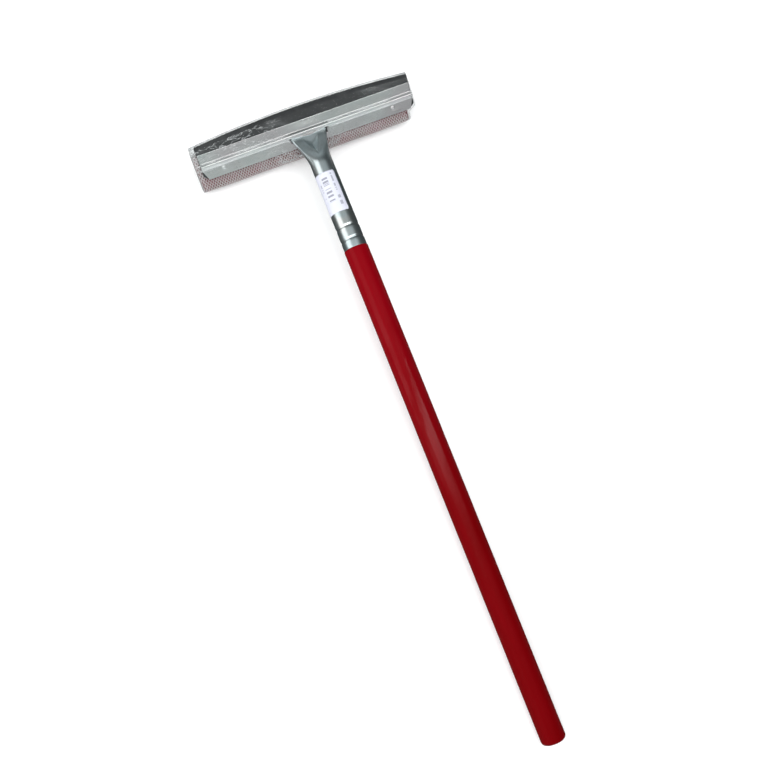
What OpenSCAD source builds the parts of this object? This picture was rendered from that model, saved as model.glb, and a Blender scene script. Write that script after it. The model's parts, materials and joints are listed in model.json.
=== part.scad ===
// Window squeegee: a sheet-steel head that clamps a crowned rubber blade and a
// netted sponge, on a rolled ferrule and a painted wooden handle.
//
// Row frame: +X runs along the head, +Y along the handle towards the head and
// +Z up. The tool lies as it is put down, on the sponge's lower back edge and
// on the rim of the handle's end, and the origin is below the middle of its box.

/* [Head] */
// Length of the metal plates along the head
plate_len = 202; // [150:1:300]
// Height of the flat above the rib
upper_flange_h = 8.6; // [7:0.1:14]
// Height of the stiffening rib
rib_h = 4.6; // [4:0.1:6]
// How far the rib stands out of the plate
rib_rise = 2.4; // [1.6:0.1:3]
// Height of the flat below the rib
lower_flange_h = 9.6; // [8:0.1:14]
// Thickness of the plates' sheet
plate_t = 0.8; // [0.6:0.05:1]
// Lean of the plates from the handle's line
head_lean = 30; // [24:1:36]
// Sideways cut at the lower corners of the front plate
corner_cut = 3.4; // [1:0.1:6]

/* [Blade] */
// How far the rubber strip passes each end of the plates
blade_over = 0.6; // [0:0.1:3]
// Thickness of the rubber strip
blade_t = 3.2; // [2.6:0.1:4]
// Rubber that stands above the plate at the middle
blade_reach = 12.2; // [8:0.1:20]
// Drop of the wiping edge from the middle to the ends
blade_crown = 4.8; // [1:0.1:6]

/* [Sponge] */
// How much shorter the sponge is than the plates
sponge_short = 1; // [0:0.5:8]
// How far the sponge sits to the left of the plates' middle
sponge_shift = 5.4; // [0:0.1:7]
// Thickness of the sponge behind its backing plate
sponge_t = 22.4; // [16:0.1:32]
// How far the sponge hangs below the lower flange
sponge_hang = 10.6; // [8:0.1:20]
// Radius of the sponge's long edges
sponge_edge_r = 4; // [3:0.1:6]
// Thickness of the net
net_t = 0.6; // [0.4:0.1:1]

/* [Ferrule] */
// Length from the slot in the plate to the wood's shoulder
ferrule_len = 116; // [100:0.5:150]
// Outer diameter at the wood's shoulder
ferrule_end_d = 21.4; // [20:0.1:22]
// Outer diameter where the flare starts
ferrule_neck_d = 20.4; // [19.4:0.1:21]
// Wall of the ferrule
ferrule_t = 1.2; // [0.9:0.05:1.3]
// Length of the flare, from the slot to the round tube
flare_len = 34; // [28:0.5:36]
// Width of the flattened mouth
mouth_w = 34.6; // [30:0.1:40]
// Length of the pressed V in the front of the flare
vee_len = 27; // [14:0.5:30]
// Width of the pressed V at the slot
vee_w = 16.4; // [10:0.1:20]
// Distance of the first rolled ring from the ferrule's end
ring_first = 8.4; // [6:0.1:14]
// Distance between the two rolled rings
ring_pitch = 11.7; // [9:0.1:16]
// Depth of a rolled ring
ring_depth = 0.5; // [0.3:0.05:0.7]

/* [Handle] */
// Diameter of the wooden handle
handle_d = 22.22; // [22:0.01:28]
// Length of wood outside the ferrule
handle_len = 457; // [250:1:900]
// Length of wood inside the ferrule
tenon_len = 51; // [30:0.5:60]
// Radius of the rounded end
handle_end_r = 3.5; // [1.5:0.1:6]

/* [Rivets] */
// Distance of a rivet from the end of the plate
rivet_inset = 19.5; // [12:0.5:40]
// Diameter of a rivet's shank
rivet_d = 2.6; // [2:0.1:3]
// Diameter of a rivet's head
rivet_head_d = 4.4; // [3.8:0.1:5]

/* [Price label] */
// Length of the label along the ferrule
label_len = 38.1; // [20:0.1:40]
// Width of the label round the ferrule
label_w = 25.4; // [15:0.1:30]
// Distance from the slot to the label
label_gap = 43.1; // [37:0.1:46]
// Angle from the front of the tool to the label's middle
label_turn = 33; // [-60:1:60]

/* [Wrapping film] */
// Thickness of the film
film_t = 0.3; // [0.2:0.05:0.4]
// Air between the film and what it wraps
film_gap = 0.3; // [0.2:0.05:0.6]
// How far the film stands past the blade's edge
film_top = 2.4; // [1:0.1:5]

/* [Hidden] */
$fn = 64;

// Clearances
slip = 0.02;          // parts that lie against each other
tenon_gap = 0.08;     // wood in the ferrule
hole_gap = 0.05;      // radial, round a rivet
slot_gap = 0.25;      // round the flattened mouth, in the plate
film_hole_gap = 1.2;  // beside the flattened mouth, in the film
film_hole_top = 1.4;  // the film's opening, above the rib's foot
rear_margin = 0.5;    // from the rear plate's end to the net's
past = 1;             // how far a cut runs past what it cuts

// Lengths along the head, and how far each end of the net and the film reaches
blade_len = plate_len + 2 * blade_over;
sponge_len = plate_len - sponge_short;
sponge_right = sponge_len / 2 - sponge_shift;
sponge_left = sponge_len / 2 + sponge_shift;
rear_len = 2 * (sponge_right - rear_margin);
film_right = max(blade_len / 2, sponge_right) + film_gap;
film_left = max(blade_len / 2, sponge_left) + film_gap;
film_hole_h = 2.9 * blade_t;  // the film's opening, below the rib's foot

// The head's section, in plate coordinates: y up the plate from the rib's foot,
// z forward from the back face of the front plate
plate_top = rib_h + upper_flange_h;
plate_low = -lower_flange_h;
rib_slope = rib_h / 4;
net_front = -blade_t - slip;
rear_front = net_front - net_t - slip;
rear_back = rear_front - plate_t;
rear_top = plate_top - 1.2;
rear_low = plate_low + 0.4;
core_top = rear_top + slip;
core_low = plate_low - sponge_hang;
core_front = rear_front;
core_back = rear_back - sponge_t;
sock_fold_r = slip;
blade_top = plate_top + blade_reach;
blade_low = plate_low + 1.6;
blade_corner = 2.2;
rivet_y = -lower_flange_h * 0.35;
rivet_head_h = 0.7;
rivet_pocket = 0.4;
corner_drop = 1;       // where the corner's cut starts, below the rib's foot
bead_r = 1;            // the film's bend over the rib

// The flattened mouth: its line bends by the lean to lie behind the plate
mouth_t = blade_t - 2 * slip;
bend_r = 10;
tab_end = plate_top - 1.6;
tab_from = rib_h * 0.78;
tab_z = -blade_t / 2;
bend_y = tab_from - bend_r * sin(head_lean);
bend_z = tab_z + bend_r * (1 - cos(head_lean));
neck_r = ferrule_neck_d / 2;
end_r = ferrule_end_d / 2;
mouth_line = -(neck_r - mouth_t / 2);
head_drop = mouth_line - (bend_y * sin(head_lean) + bend_z * cos(head_lean));
mouth_y = bend_y * cos(head_lean) - bend_z * sin(head_lean);
lance_w = mouth_w + 11;
lance_h = 0.9;
tongue_w = mouth_w - 5;
tongue_len = 2.4;
slot_run = 18;         // length of the space that the mouth passes through
slot_ahead = 10;
// The tongue starts where the mouth's bend has used up all but a slip of its gap
bend_in_r = bend_r - mouth_t / 2;
tongue_root = mouth_y + bend_in_r * sin(acos(1 - (slot_gap - 2 * slip) / bend_in_r));

// The handle
shoulder_y = -ferrule_len;
handle_r = handle_d / 2;
handle_end_y = shoulder_y - handle_len;
tenon_tip_y = shoulder_y + tenon_len;
shoulder_edge = 0.5;
tip_edge = 1;

// Section points round the ferrule
round_n = 36;
seam_gap = 0.5;
run_end = ferrule_len + mouth_y;
flare_share = 0.88;    // of the flare's length that its width opens over
flare_power = 1.6;     // how late it opens
vee_slope = 0.85;      // depth of the V for its half width
ring_w = 1.1;

function mix(a, b, t) = a + (b - a) * t;
function clamp01(t) = min(1, max(0, t));
function smooth(t) = let (c = clamp01(t)) c * c * (3 - 2 * c);
function arc(cx, cy, r, from, to, n = 8) =
    [for (i = [0 : n]) let (a = mix(from, to, i / n)) [cx + r * cos(a), cy + r * sin(a)]];

// A box section with rounded corners, from low to high, and its own radius at the high one
function round_box(low, high, r, high_r) = concat(
    arc(high.x - high_r, high.y - high_r, high_r, 0, 90), arc(low.x + r, high.y - r, r, 90, 180),
    arc(low.x + r, low.y + r, r, 180, 270), arc(high.x - r, low.y + r, r, 270, 360));

// ---------------------------------------------------------------- placing

// From plate coordinates to the handle's frame
module on_head() translate([0, 0, head_drop]) rotate([head_lean, 0, 0]) children();
module from_handle() rotate([-head_lean, 0, 0]) translate([0, 0, -head_drop]) children();
function head_point(y, z) = [y * cos(head_lean) - z * sin(head_lean),
                             head_drop + y * sin(head_lean) + z * cos(head_lean)];

// Sweeps a plate section drawn in (y, z) along the head
module along_head(len, left = undef) translate([is_undef(left) ? -len / 2 : -left, 0, 0])
    rotate([90, 0, 90]) linear_extrude(len) children();

// The circles that the film is drawn tight over, as [y, z, radius]
film_out = film_gap + film_t;
core_r = sponge_edge_r;
film_rings = [
    [blade_top + film_top - blade_t / 2, -blade_t / 2, blade_t / 2],
    [rib_h - rib_slope - bead_r / 2, rib_rise + plate_t - bead_r, bead_r],
    [rib_slope - bead_r / 2, rib_rise + plate_t - bead_r, bead_r],
    [core_low - net_t + core_r, net_front - core_r, core_r],
    [core_low + core_r, core_back + core_r, core_r + net_t],
    [core_top - core_r, core_back + core_r, core_r + net_t],
    [plate_low + plate_t / 2, plate_t / 2, plate_t / 2]];

// The tool rests on the film's lower back edge and on the handle's end: the
// floor is the line that touches both circles from below
foot_head = let (p = head_point(film_rings[4].x, film_rings[4].y)) [p.x, p.y];
foot_head_r = film_rings[4].z + film_out;
foot_end = [handle_end_y + handle_end_r, -(handle_r - handle_end_r)];
foot_line = foot_head - foot_end;
rest_tilt = -(atan2(foot_line.y, foot_line.x)
              - asin((foot_head_r - handle_end_r) / norm(foot_line)));
rest_z = handle_end_r - (foot_end.x * sin(rest_tilt) + foot_end.y * cos(rest_tilt));
function rest_y(y, z) = y * cos(rest_tilt) - z * sin(rest_tilt);
back_y = rest_y(foot_end.x, -foot_end.y) - handle_end_r;
front_y = max([for (ring = film_rings) let (p = head_point(ring.x, ring.y))
               rest_y(p.x, p.y) + ring.z + film_out]);

module at_rest() translate([(film_left - film_right) / 2, -(front_y + back_y) / 2, rest_z])
    rotate([rest_tilt, 0, 0]) children();

// ---------------------------------------------------------------- ferrule

// Radius of the round tube at a distance from the slot
function tube_r(s) = mix(neck_r, end_r, (s - flare_len) / (ferrule_len - flare_len));
// Depth of the rolled rings there
function ring_cut(s) = let (d = run_end - s)
    ring_depth * (exp(-pow((d - ring_first) / ring_w, 2))
                  + exp(-pow((d - ring_first - ring_pitch) / ring_w, 2)));

// A point of the flattened mouth's outline, by its share of the way round
function flat_point(share, half, r) = let (
    side = half - r, turn = PI * r, way = share * (4 * side + 2 * turn))
    way < side ? [way, -r]
    : way < side + turn ? let (a = -90 + (way - side) / r * 180 / PI)
        [side + r * cos(a), r * sin(a)]
    : way < 3 * side + turn ? [side - (way - side - turn), r]
    : way < 3 * side + 2 * turn ? let (a = 90 + (way - 3 * side - turn) / r * 180 / PI)
        [-side + r * cos(a), r * sin(a)]
    : [-side + (way - 3 * side - 2 * turn), -r];

// Half width and height of the flare, and the V pressed into its front
function flare_half(s) = mix(neck_r, mouth_w / 2,
                             pow(clamp01(1 - s / (flare_len * flare_share)), flare_power));
function flare_h(s) = mix(mouth_t, 2 * neck_r, smooth(s / flare_len));
function vee_half(s) = vee_w / 2 * clamp01(1 - s / vee_len);
function vee_depth(x, s) = let (half = vee_half(s))
    half == 0 ? 0
    : min(flare_h(s) - mouth_t, vee_slope * half) * clamp01(1 - abs(x) / half);

// One section of the ferrule: its outline grown by grow, points from the seam round
function section_at(s, grow) = let (
    half = s < flare_len ? flare_half(s) : tube_r(s) - ring_cut(s),
    high = s < flare_len ? flare_h(s) / 2 : half,
    round_share = smooth(s / flare_len),
    seam_share = seam_gap / (2 * PI * neck_r) / 2)
    [for (i = [0 : round_n - 1]) let (
        share = mix(seam_share, 1 - seam_share, i / (round_n - 1)),
        flat = flat_point(share, mouth_w / 2, mouth_t / 2),
        a = -90 + 360 * share,
        x = mix(flat.x / (mouth_w / 2), cos(a), round_share),
        z = mix(flat.y / (mouth_t / 2), sin(a), round_share),
        dent = z > 0 ? vee_depth(x * half, s) : 0)
     [x * (half + grow), z * (high + grow) - dent]];

// The ferrule's stations, as [distance from the bend, path y, path z, path turn]
function tab_station(d) = let (p = head_point(tab_from + d, tab_z)) [-1, p.x, p.y, head_lean];
function bend_station(a) = [-1, mouth_y + bend_r * sin(a), mouth_line + bend_r * (1 - cos(a)), a];
function run_station(s) = [s, mouth_y - s,
    s < flare_len ? -neck_r + flare_h(s) / 2 : 0, 0];
ring_steps = [-2, -0.9, 0, 0.9, 2];
ring_stations = [for (k = [1, 0], d = ring_steps) run_end - ring_first - k * ring_pitch + d];
ferrule_path = concat(
    [for (d = [tab_end - tab_from, 0]) tab_station(d)],
    [for (a = [head_lean * 2 / 3, head_lean / 3]) bend_station(a)],
    [for (k = [0 : 12]) run_station(flare_len * k / 12)],
    [for (s = ring_stations) run_station(s)],
    [run_station(run_end)]);

function ring_points(path, grow) = [for (at = path) let (s = max(0, at.x))
    [for (p = section_at(s, grow))
        [p.x, at[1] - p.y * sin(at[3]), at[2] + p.y * cos(at[3])]]];
function flatten(lists) = [for (list = lists, item = list) item];

// The rolled wall: outer points, then inner ones, station by station
module rolled_wall(path) {
    outer = ring_points(path, 0);
    inner = ring_points(path, -ferrule_t);
    n = round_n;
    rows = len(path);
    points = flatten([for (k = [0 : rows - 1]) concat(outer[k], inner[k])]);
    skin = [for (k = [0 : rows - 2], i = [0 : n - 2]) let (a = k * 2 * n + i, b = a + 2 * n)
            each [[a, a + 1, b + 1, b], [a + n, b + n, b + n + 1, a + n + 1]]];
    seam = [for (k = [0 : rows - 2]) let (a = k * 2 * n, b = a + 2 * n)
            each [[a, b, b + n, a + n], [a + n - 1, a + 2 * n - 1, b + 2 * n - 1, b + n - 1]]];
    last = (rows - 1) * 2 * n;
    caps = [for (i = [0 : n - 2])
            each [[i, i + n, i + n + 1, i + 1],
                  [last + i, last + i + 1, last + i + n + 1, last + i + n]]];
    polyhedron(points, concat(skin, seam, caps), convexity = 6);
}

// The straight end of the mouth grown by a clearance, for the slot it passes
module mouth_space(gap) {
    low = [-mouth_w / 2 - gap, mouth_line - mouth_t / 2 - gap];
    high = [mouth_w / 2 + gap, mouth_line + mouth_t / 2 + gap];
    translate([0, slot_ahead, 0]) rotate([90, 0, 0]) linear_extrude(slot_run)
        polygon(round_box(low, high, mouth_t / 2, mouth_t / 2));
}

module ferrule() color([0.72, 0.78, 0.78]) at_rest() rolled_wall(ferrule_path);

// ---------------------------------------------------------------- handle

module wood_handle() {
    tenon_r = function(y) tube_r(mouth_y - y) - ring_cut(mouth_y - y) - ferrule_t - tenon_gap;
    ring_ys = [for (k = [0, 1], d = ring_steps) shoulder_y + ring_first + k * ring_pitch + d];
    outline = concat(
        [[0, handle_end_y]],
        arc(handle_r - handle_end_r, handle_end_y + handle_end_r, handle_end_r, -90, 0),
        [[handle_r, shoulder_y - shoulder_edge], [handle_r - shoulder_edge, shoulder_y]],
        [[tenon_r(shoulder_y), shoulder_y]],
        [for (y = ring_ys) [tenon_r(y), y]],
        [[tenon_r(tenon_tip_y), tenon_tip_y - tip_edge],
         [tenon_r(tenon_tip_y) - tip_edge, tenon_tip_y], [0, tenon_tip_y]]);
    color([0.72, 0.04, 0.08]) at_rest() rotate([-90, 0, 0]) rotate_extrude()
        polygon(outline);
}

// ---------------------------------------------------------------- head

// Across the head, a rivet's place on the left (-1) or right (1)
function rivet_x(side) = side * (plate_len / 2 - rivet_inset);

module rivet_holes(from, to) for (side = [-1, 1])
    translate([rivet_x(side), rivet_y, from])
        cylinder(h = to - from, r = rivet_d / 2 + hole_gap);

module front_plate() {
    bent = [[plate_low, 0], [0, 0], [rib_slope, rib_rise], [rib_h - rib_slope, rib_rise],
            [rib_h, 0], [plate_top, 0]];
    bevel = plate_t * tan(atan2(rib_rise, rib_slope) / 2);
    face = [[plate_top, plate_t], [rib_h + bevel, plate_t],
            [rib_h - rib_slope + bevel, rib_rise + plate_t],
            [rib_slope - bevel, rib_rise + plate_t], [-bevel, plate_t], [plate_low, plate_t]];
    half = plate_len / 2;
    shape = [[-half, plate_top], [-half, -corner_drop], [-half + corner_cut, plate_low],
             [half - corner_cut, plate_low], [half, -corner_drop], [half, plate_top]];
    color([0.66, 0.70, 0.70]) at_rest() {
        on_head() difference() {
            intersection() {
                along_head(plate_len) polygon(concat(bent, face));
                translate([0, 0, -past]) linear_extrude(rib_rise + plate_t + 2 * past)
                    polygon(shape);
            }
            translate([-lance_w / 2, -lance_h, -past]) cube([lance_w, lance_h, plate_t + 2 * past]);
            rivet_holes(-past, plate_t + past);
            from_handle() mouth_space(slot_gap);
        }
        tongue();
    }
}

// The point of the rib that is pressed down over the mouth
module tongue() {
    low = mouth_line + mouth_t / 2 + slot_gap;
    translate([0, 0, low]) linear_extrude(plate_t)
        polygon([[-tongue_w / 2, tongue_root], [0, -tongue_len], [tongue_w / 2, tongue_root]]);
}

module rear_plate() color([0.62, 0.66, 0.66]) at_rest() on_head() difference() {
    translate([-rear_len / 2, rear_low, rear_back]) cube([rear_len, rear_top - rear_low, plate_t]);
    rivet_holes(rear_back - past, rear_front + past);
}

module rubber_blade() {
    half = blade_len / 2;
    bow_r = (half * half + blade_crown * blade_crown) / (2 * blade_crown);
    span = asin(half / bow_r);
    shape = concat(
        arc(0, blade_top - bow_r, bow_r, 90 - span, 90 + span, 32),
        [[-half, blade_low + blade_corner], [-half + blade_corner, blade_low],
         [half - blade_corner, blade_low], [half, blade_low + blade_corner]]);
    notch_w = mouth_w + 2 * slot_gap;
    color([0.13, 0.13, 0.13]) at_rest() on_head() difference() {
        translate([0, 0, -blade_t + slip / 2]) linear_extrude(blade_t - slip) polygon(shape);
        translate([-notch_w / 2, blade_low - past, -blade_t - past])
            cube([notch_w, tab_end + slot_gap - blade_low + past, blade_t + 2 * past]);
        rivet_holes(-blade_t - past, past);
    }
}

module sponge_core() {
    low = [core_low, core_back];
    high = [core_top, core_front];
    color([0.80, 0.35, 0.38]) at_rest() on_head() difference() {
        along_head(sponge_len, sponge_left) polygon(round_box(low, high, core_r, sock_fold_r));
        translate([-rear_len / 2 - slip, rear_low - slip, rear_back - slip])
            cube([rear_len + 2 * slip, core_top - rear_low + past, plate_t + past]);
        for (side = [-1, 1]) translate([rivet_x(side), rivet_y, rear_back - rivet_head_h - rivet_pocket])
            cylinder(h = rivet_head_h + rivet_pocket + past, r = rivet_head_d / 2 + rivet_pocket);
    }
}

module sponge_net() {
    low = [core_low - slip, core_back - slip];
    high = [core_top + slip, core_front + slip];
    skin = [net_t, net_t];
    color([0.78, 0.70, 0.70]) at_rest() on_head() difference() {
        along_head(sponge_len, sponge_left) polygon(round_box(
            low - skin, high + skin - [0, slip], core_r + net_t, sock_fold_r + net_t));
        along_head(sponge_len + 2 * past, sponge_left + past)
            polygon(round_box(low, high, core_r, sock_fold_r));
        rivet_holes(core_front - past, net_front + past);
    }
}

// A rivet: a low domed head in front, a shank, and a flat head set behind the rear plate
module rivet(side) color([0.75, 0.78, 0.78]) at_rest() on_head()
    translate([rivet_x(side), rivet_y, 0]) {
        dome_r = (pow(rivet_head_d / 2, 2) + pow(rivet_head_h, 2)) / (2 * rivet_head_h);
        translate([0, 0, plate_t]) intersection() {
            translate([0, 0, rivet_head_h - dome_r]) sphere(dome_r);
            cylinder(h = rivet_head_h + past, r = rivet_head_d / 2);
        }
        translate([0, 0, rear_back]) cylinder(h = plate_t - rear_back, r = rivet_d / 2);
        translate([0, 0, rear_back - rivet_head_h]) cylinder(h = rivet_head_h, r = rivet_head_d / 2);
    }
module rivet_left() rivet(-1);
module rivet_right() rivet(1);

// ---------------------------------------------------------------- label and film

module price_label() {
    thick = 0.2;
    // The tube's radius at the distance s from the bend, with the paper's own slip
    near = label_gap;
    far = label_gap + label_len;
    angle = label_w / (tube_r((near + far) / 2) + thick / 2) * 180 / PI;
    wall = [[tube_r(near) + slip, -near], [tube_r(near) + slip + thick, -near],
            [tube_r(far) + slip + thick, -far], [tube_r(far) + slip, -far]];
    color([0.93, 0.93, 0.97]) at_rest() translate([0, mouth_y, 0]) rotate([-90, 0, 0])
        rotate([0, 0, -90 - label_turn - angle / 2]) rotate_extrude(angle = angle) polygon(wall);
}

module film_section(grow) hull() for (ring = film_rings)
    translate([ring.x, ring.y]) circle(r = ring.z + grow, $fn = 24);

module film_sleeve() color([0.85, 0.88, 0.90, 0.4]) at_rest() on_head() difference() {
    along_head(film_left + film_right + 2 * film_t, film_left + film_t) film_section(film_out);
    along_head(film_left + film_right, film_left) film_section(film_gap);
    translate([-mouth_w / 2 - film_hole_gap, -film_hole_h, 0])
        cube([mouth_w + 2 * film_hole_gap, film_hole_h + film_hole_top,
              rib_rise + plate_t + film_out + past]);
}

wood_handle();
ferrule();
front_plate();
rear_plate();
rubber_blade();
sponge_core();
sponge_net();
rivet_left();
rivet_right();
price_label();
film_sleeve();
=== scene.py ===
"""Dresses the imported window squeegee: head, blade, netted sponge, ferrule, handle, label and film.

Every piece is built in the tool's own frames, in metres. Handle coordinates have +Y along the
handle towards the head and their origin on its axis, level with the slot in the front plate.
Plate coordinates have +Y up the plate from the rib's foot and +Z forward.
"""
import json
import logging
import math
from dataclasses import dataclass, field
from enum import Enum
from typing import Callable, Optional, Sequence, Union

import bmesh
import bpy
from mathutils import Matrix, Vector, noise


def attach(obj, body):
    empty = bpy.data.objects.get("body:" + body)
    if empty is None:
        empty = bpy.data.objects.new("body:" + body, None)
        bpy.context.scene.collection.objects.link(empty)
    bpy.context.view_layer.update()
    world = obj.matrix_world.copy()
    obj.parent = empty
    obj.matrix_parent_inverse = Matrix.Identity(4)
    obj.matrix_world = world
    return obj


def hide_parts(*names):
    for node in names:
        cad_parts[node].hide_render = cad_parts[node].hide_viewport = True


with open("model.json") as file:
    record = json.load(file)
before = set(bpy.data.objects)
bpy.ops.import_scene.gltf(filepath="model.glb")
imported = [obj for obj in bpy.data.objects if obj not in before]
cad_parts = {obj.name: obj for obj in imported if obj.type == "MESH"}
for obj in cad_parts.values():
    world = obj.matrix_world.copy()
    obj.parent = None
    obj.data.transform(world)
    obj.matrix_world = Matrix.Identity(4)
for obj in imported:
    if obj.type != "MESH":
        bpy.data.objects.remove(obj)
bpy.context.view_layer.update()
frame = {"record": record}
LOG = logging.getLogger("squeegee")
MM = 0.001
FINE = 1e-5
BODY = "root"


# ------------------------------------------------------------------ small maths

def mix(low: float, high: float, share: float) -> float:
    """The value at a share of the way from low to high."""
    return low + (high - low) * share


def clamp01(value: float) -> float:
    """The value held between 0 and 1."""
    return min(1.0, max(0.0, value))


def smooth(share: float) -> float:
    """An S-shaped step from 0 to 1."""
    held = clamp01(share)
    return held * held * (3 - 2 * held)


def bump(distance: float, width: float) -> float:
    """A rounded bump of height 1 that fades out over a width."""
    return math.exp(-(distance / width) ** 2)


def arc(cx: float, cy: float, r: float, start: float, end: float, steps: int) -> list[Vector]:
    """Points along an arc.

    Args:
        cx, cy: The arc's centre.
        r: Its radius.
        start, end: Its angles in degrees.
        steps: How many straight steps it takes.

    Returns:
        The points, both ends included.
    """
    turns = [math.radians(mix(start, end, k / steps)) for k in range(steps + 1)]
    return [Vector((cx + r * math.cos(a), cy + r * math.sin(a))) for a in turns]


class Path:
    """A polyline in a section, read by the distance along it."""

    def __init__(self, points: Sequence[Vector], closed: bool = False) -> None:
        """Keeps the points and the running length.

        Args:
            points: The corners, at least two.
            closed: Whether the last joins the first.
        """
        self.points = [Vector(p) for p in points]
        if closed:
            self.points.append(self.points[0].copy())
        self.runs = [0.0]
        for a, b in zip(self.points, self.points[1:]):
            self.runs.append(self.runs[-1] + (b - a).length)
        self.length = self.runs[-1]
        self.closed = closed

    def at(self, distance: float) -> tuple[Vector, Vector]:
        """The point and the left-hand normal at a distance.

        Args:
            distance: How far along the path, wrapped on a closed one.

        Returns:
            The point and the unit normal.
        """
        way = distance % self.length if self.closed else min(max(distance, 0.0), self.length)
        k = next((i for i in range(len(self.runs) - 2, -1, -1) if self.runs[i] <= way), 0)
        a, b = self.points[k], self.points[k + 1]
        step = (b - a).length or 1.0
        along = (b - a) / step
        return a + along * (way - self.runs[k]), Vector((-along.y, along.x))

    @staticmethod
    def filleted(corners: Sequence[tuple[float, float]], r: float, steps: int = 5,
                 closed: bool = False) -> "Path":
        """A polyline with its corners rounded.

        Args:
            corners: The sharp corners.
            r: The radius of each bend.
            steps: Straight steps in a bend.
            closed: Whether the last corner joins the first.

        Returns:
            The rounded path.
        """
        points = [Vector(c) for c in corners]
        n = len(points)
        out = [] if closed else [points[0]]
        for k in (range(n) if closed else range(1, n - 1)):
            before, here, after = points[k - 1], points[k], points[(k + 1) % n]
            back, ahead = (before - here), (after - here)
            inset = min(r, back.length * 0.45, ahead.length * 0.45)
            start, end = here + back.normalized() * inset, here + ahead.normalized() * inset
            for i in range(steps + 1):
                t = i / steps
                out.append(start * (1 - t) ** 2 + here * 2 * t * (1 - t) + end * t * t)
        if not closed:
            out.append(points[-1])
        return Path(out, closed)


# ------------------------------------------------------------------ sizes and frames

@dataclass(frozen=True)
class ToolSizes:
    """The tool's driving sizes in millimetres, as the design has them."""
    plate_len: float = 202.0
    upper_flange_h: float = 8.6
    rib_h: float = 4.6
    rib_rise: float = 2.4
    lower_flange_h: float = 9.6
    plate_t: float = 0.8
    head_lean: float = 30.0
    corner_cut: float = 3.4
    blade_over: float = 0.6
    blade_t: float = 3.2
    blade_reach: float = 12.2
    blade_crown: float = 4.8
    sponge_short: float = 1.0
    sponge_shift: float = 5.4
    sponge_t: float = 22.4
    sponge_hang: float = 10.6
    sponge_edge_r: float = 4.0
    rear_top_gap: float = 1.2
    rear_low_gap: float = 0.4
    rear_end_gap: float = 0.5
    slip: float = 0.04
    net_t: float = 0.6
    ferrule_len: float = 116.0
    ferrule_end_d: float = 21.4
    ferrule_neck_d: float = 20.4
    ferrule_t: float = 1.2
    flare_len: float = 34.0
    mouth_w: float = 34.6
    vee_len: float = 27.0
    vee_w: float = 16.4
    ring_first: float = 8.4
    ring_pitch: float = 11.7
    ring_depth: float = 0.5
    handle_d: float = 22.22
    handle_len: float = 457.0
    handle_end_r: float = 3.5
    rivet_inset: float = 19.5
    rivet_head_d: float = 4.4
    label_len: float = 38.1
    label_w: float = 25.4
    label_gap: float = 43.1
    label_turn: float = 33.0
    film_t: float = 0.3
    film_gap: float = 0.3
    film_top: float = 2.4
    bend_r: float = 10.0
    mouth_rise: float = 0.78

    @property
    def blade_len(self) -> float:
        """Length of the rubber strip."""
        return self.plate_len + 2 * self.blade_over

    @property
    def sponge_len(self) -> float:
        """Length of the sponge."""
        return self.plate_len - self.sponge_short

    @property
    def rear_len(self) -> float:
        """Length of the backing plate."""
        return self.sponge_len - 2 * (self.sponge_shift + self.rear_end_gap)

    @property
    def plate_top(self) -> float:
        """Top edge of the front plate above the rib's foot."""
        return self.rib_h + self.upper_flange_h

    @property
    def plate_low(self) -> float:
        """Bottom edge of the front plate."""
        return -self.lower_flange_h

    @property
    def rear_back(self) -> float:
        """Back face of the rear plate."""
        return -self.blade_t - self.net_t - self.plate_t - self.slip

    @property
    def core_back(self) -> float:
        """Back face of the sponge."""
        return self.rear_back - self.sponge_t

    @property
    def core_low(self) -> float:
        """Lowest face of the sponge."""
        return self.plate_low - self.sponge_hang

    @property
    def core_top(self) -> float:
        """Highest face of the sponge and of the rear plate."""
        return self.plate_top - self.rear_top_gap

    @property
    def rear_low(self) -> float:
        """Bottom edge of the rear plate."""
        return self.plate_low + self.rear_low_gap

    @property
    def neck_r(self) -> float:
        """Radius of the ferrule where its flare starts."""
        return self.ferrule_neck_d / 2

    @property
    def mouth_line(self) -> float:
        """Height of the flattened mouth's middle from the handle's axis."""
        return -(self.neck_r - self.blade_t / 2)

    @property
    def bend_start(self) -> tuple[float, float]:
        """Where the mouth starts to bend, in plate coordinates.

        Returns:
            Up the plate, and forward of it.
        """
        lean = math.radians(self.head_lean)
        return (self.rib_h * self.mouth_rise - self.bend_r * math.sin(lean),
                -self.blade_t / 2 + self.bend_r * (1 - math.cos(lean)))

    @property
    def head_drop(self) -> float:
        """Height of the plate's origin from the handle's axis.

        Returns:
            The drop, negative below the axis.
        """
        lean = math.radians(self.head_lean)
        y, z = self.bend_start
        return self.mouth_line - (y * math.sin(lean) + z * math.cos(lean))

    @property
    def mouth_y(self) -> float:
        """Where the mouth starts to bend, in handle coordinates.

        Returns:
            The place along the handle.
        """
        lean = math.radians(self.head_lean)
        y, z = self.bend_start
        return y * math.cos(lean) - z * math.sin(lean)


class ToolFrames:
    """Where the handle and the plate lie in the row frame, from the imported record's grip."""

    def __init__(self, record: dict, sizes: ToolSizes) -> None:
        """Works the frames out of the grip's middle and axis.

        Args:
            record: The frame that the CAD part writes.
            sizes: The tool's sizes.
        """
        grip = next(m for m in record["mounts"] if m["name"] == "handle_grip")
        towards_head = -Vector(grip["axis"]).normalized()
        middle = Vector(grip["pos_m"])
        origin = middle + towards_head * (sizes.handle_len / 2 + sizes.ferrule_len) * MM
        across = Vector((1, 0, 0))
        up = across.cross(towards_head)
        turn = Matrix((across, towards_head, up)).transposed().to_4x4()
        scale = Matrix.Scale(MM, 4)
        self.handle = Matrix.Translation(origin) @ turn @ scale
        self.plate = (self.handle @ Matrix.Translation((0, 0, sizes.head_drop))
                      @ Matrix.Rotation(math.radians(sizes.head_lean), 4, "X"))
        self.tilt = math.atan2(towards_head.z, towards_head.y)
        self.origin = origin


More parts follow.
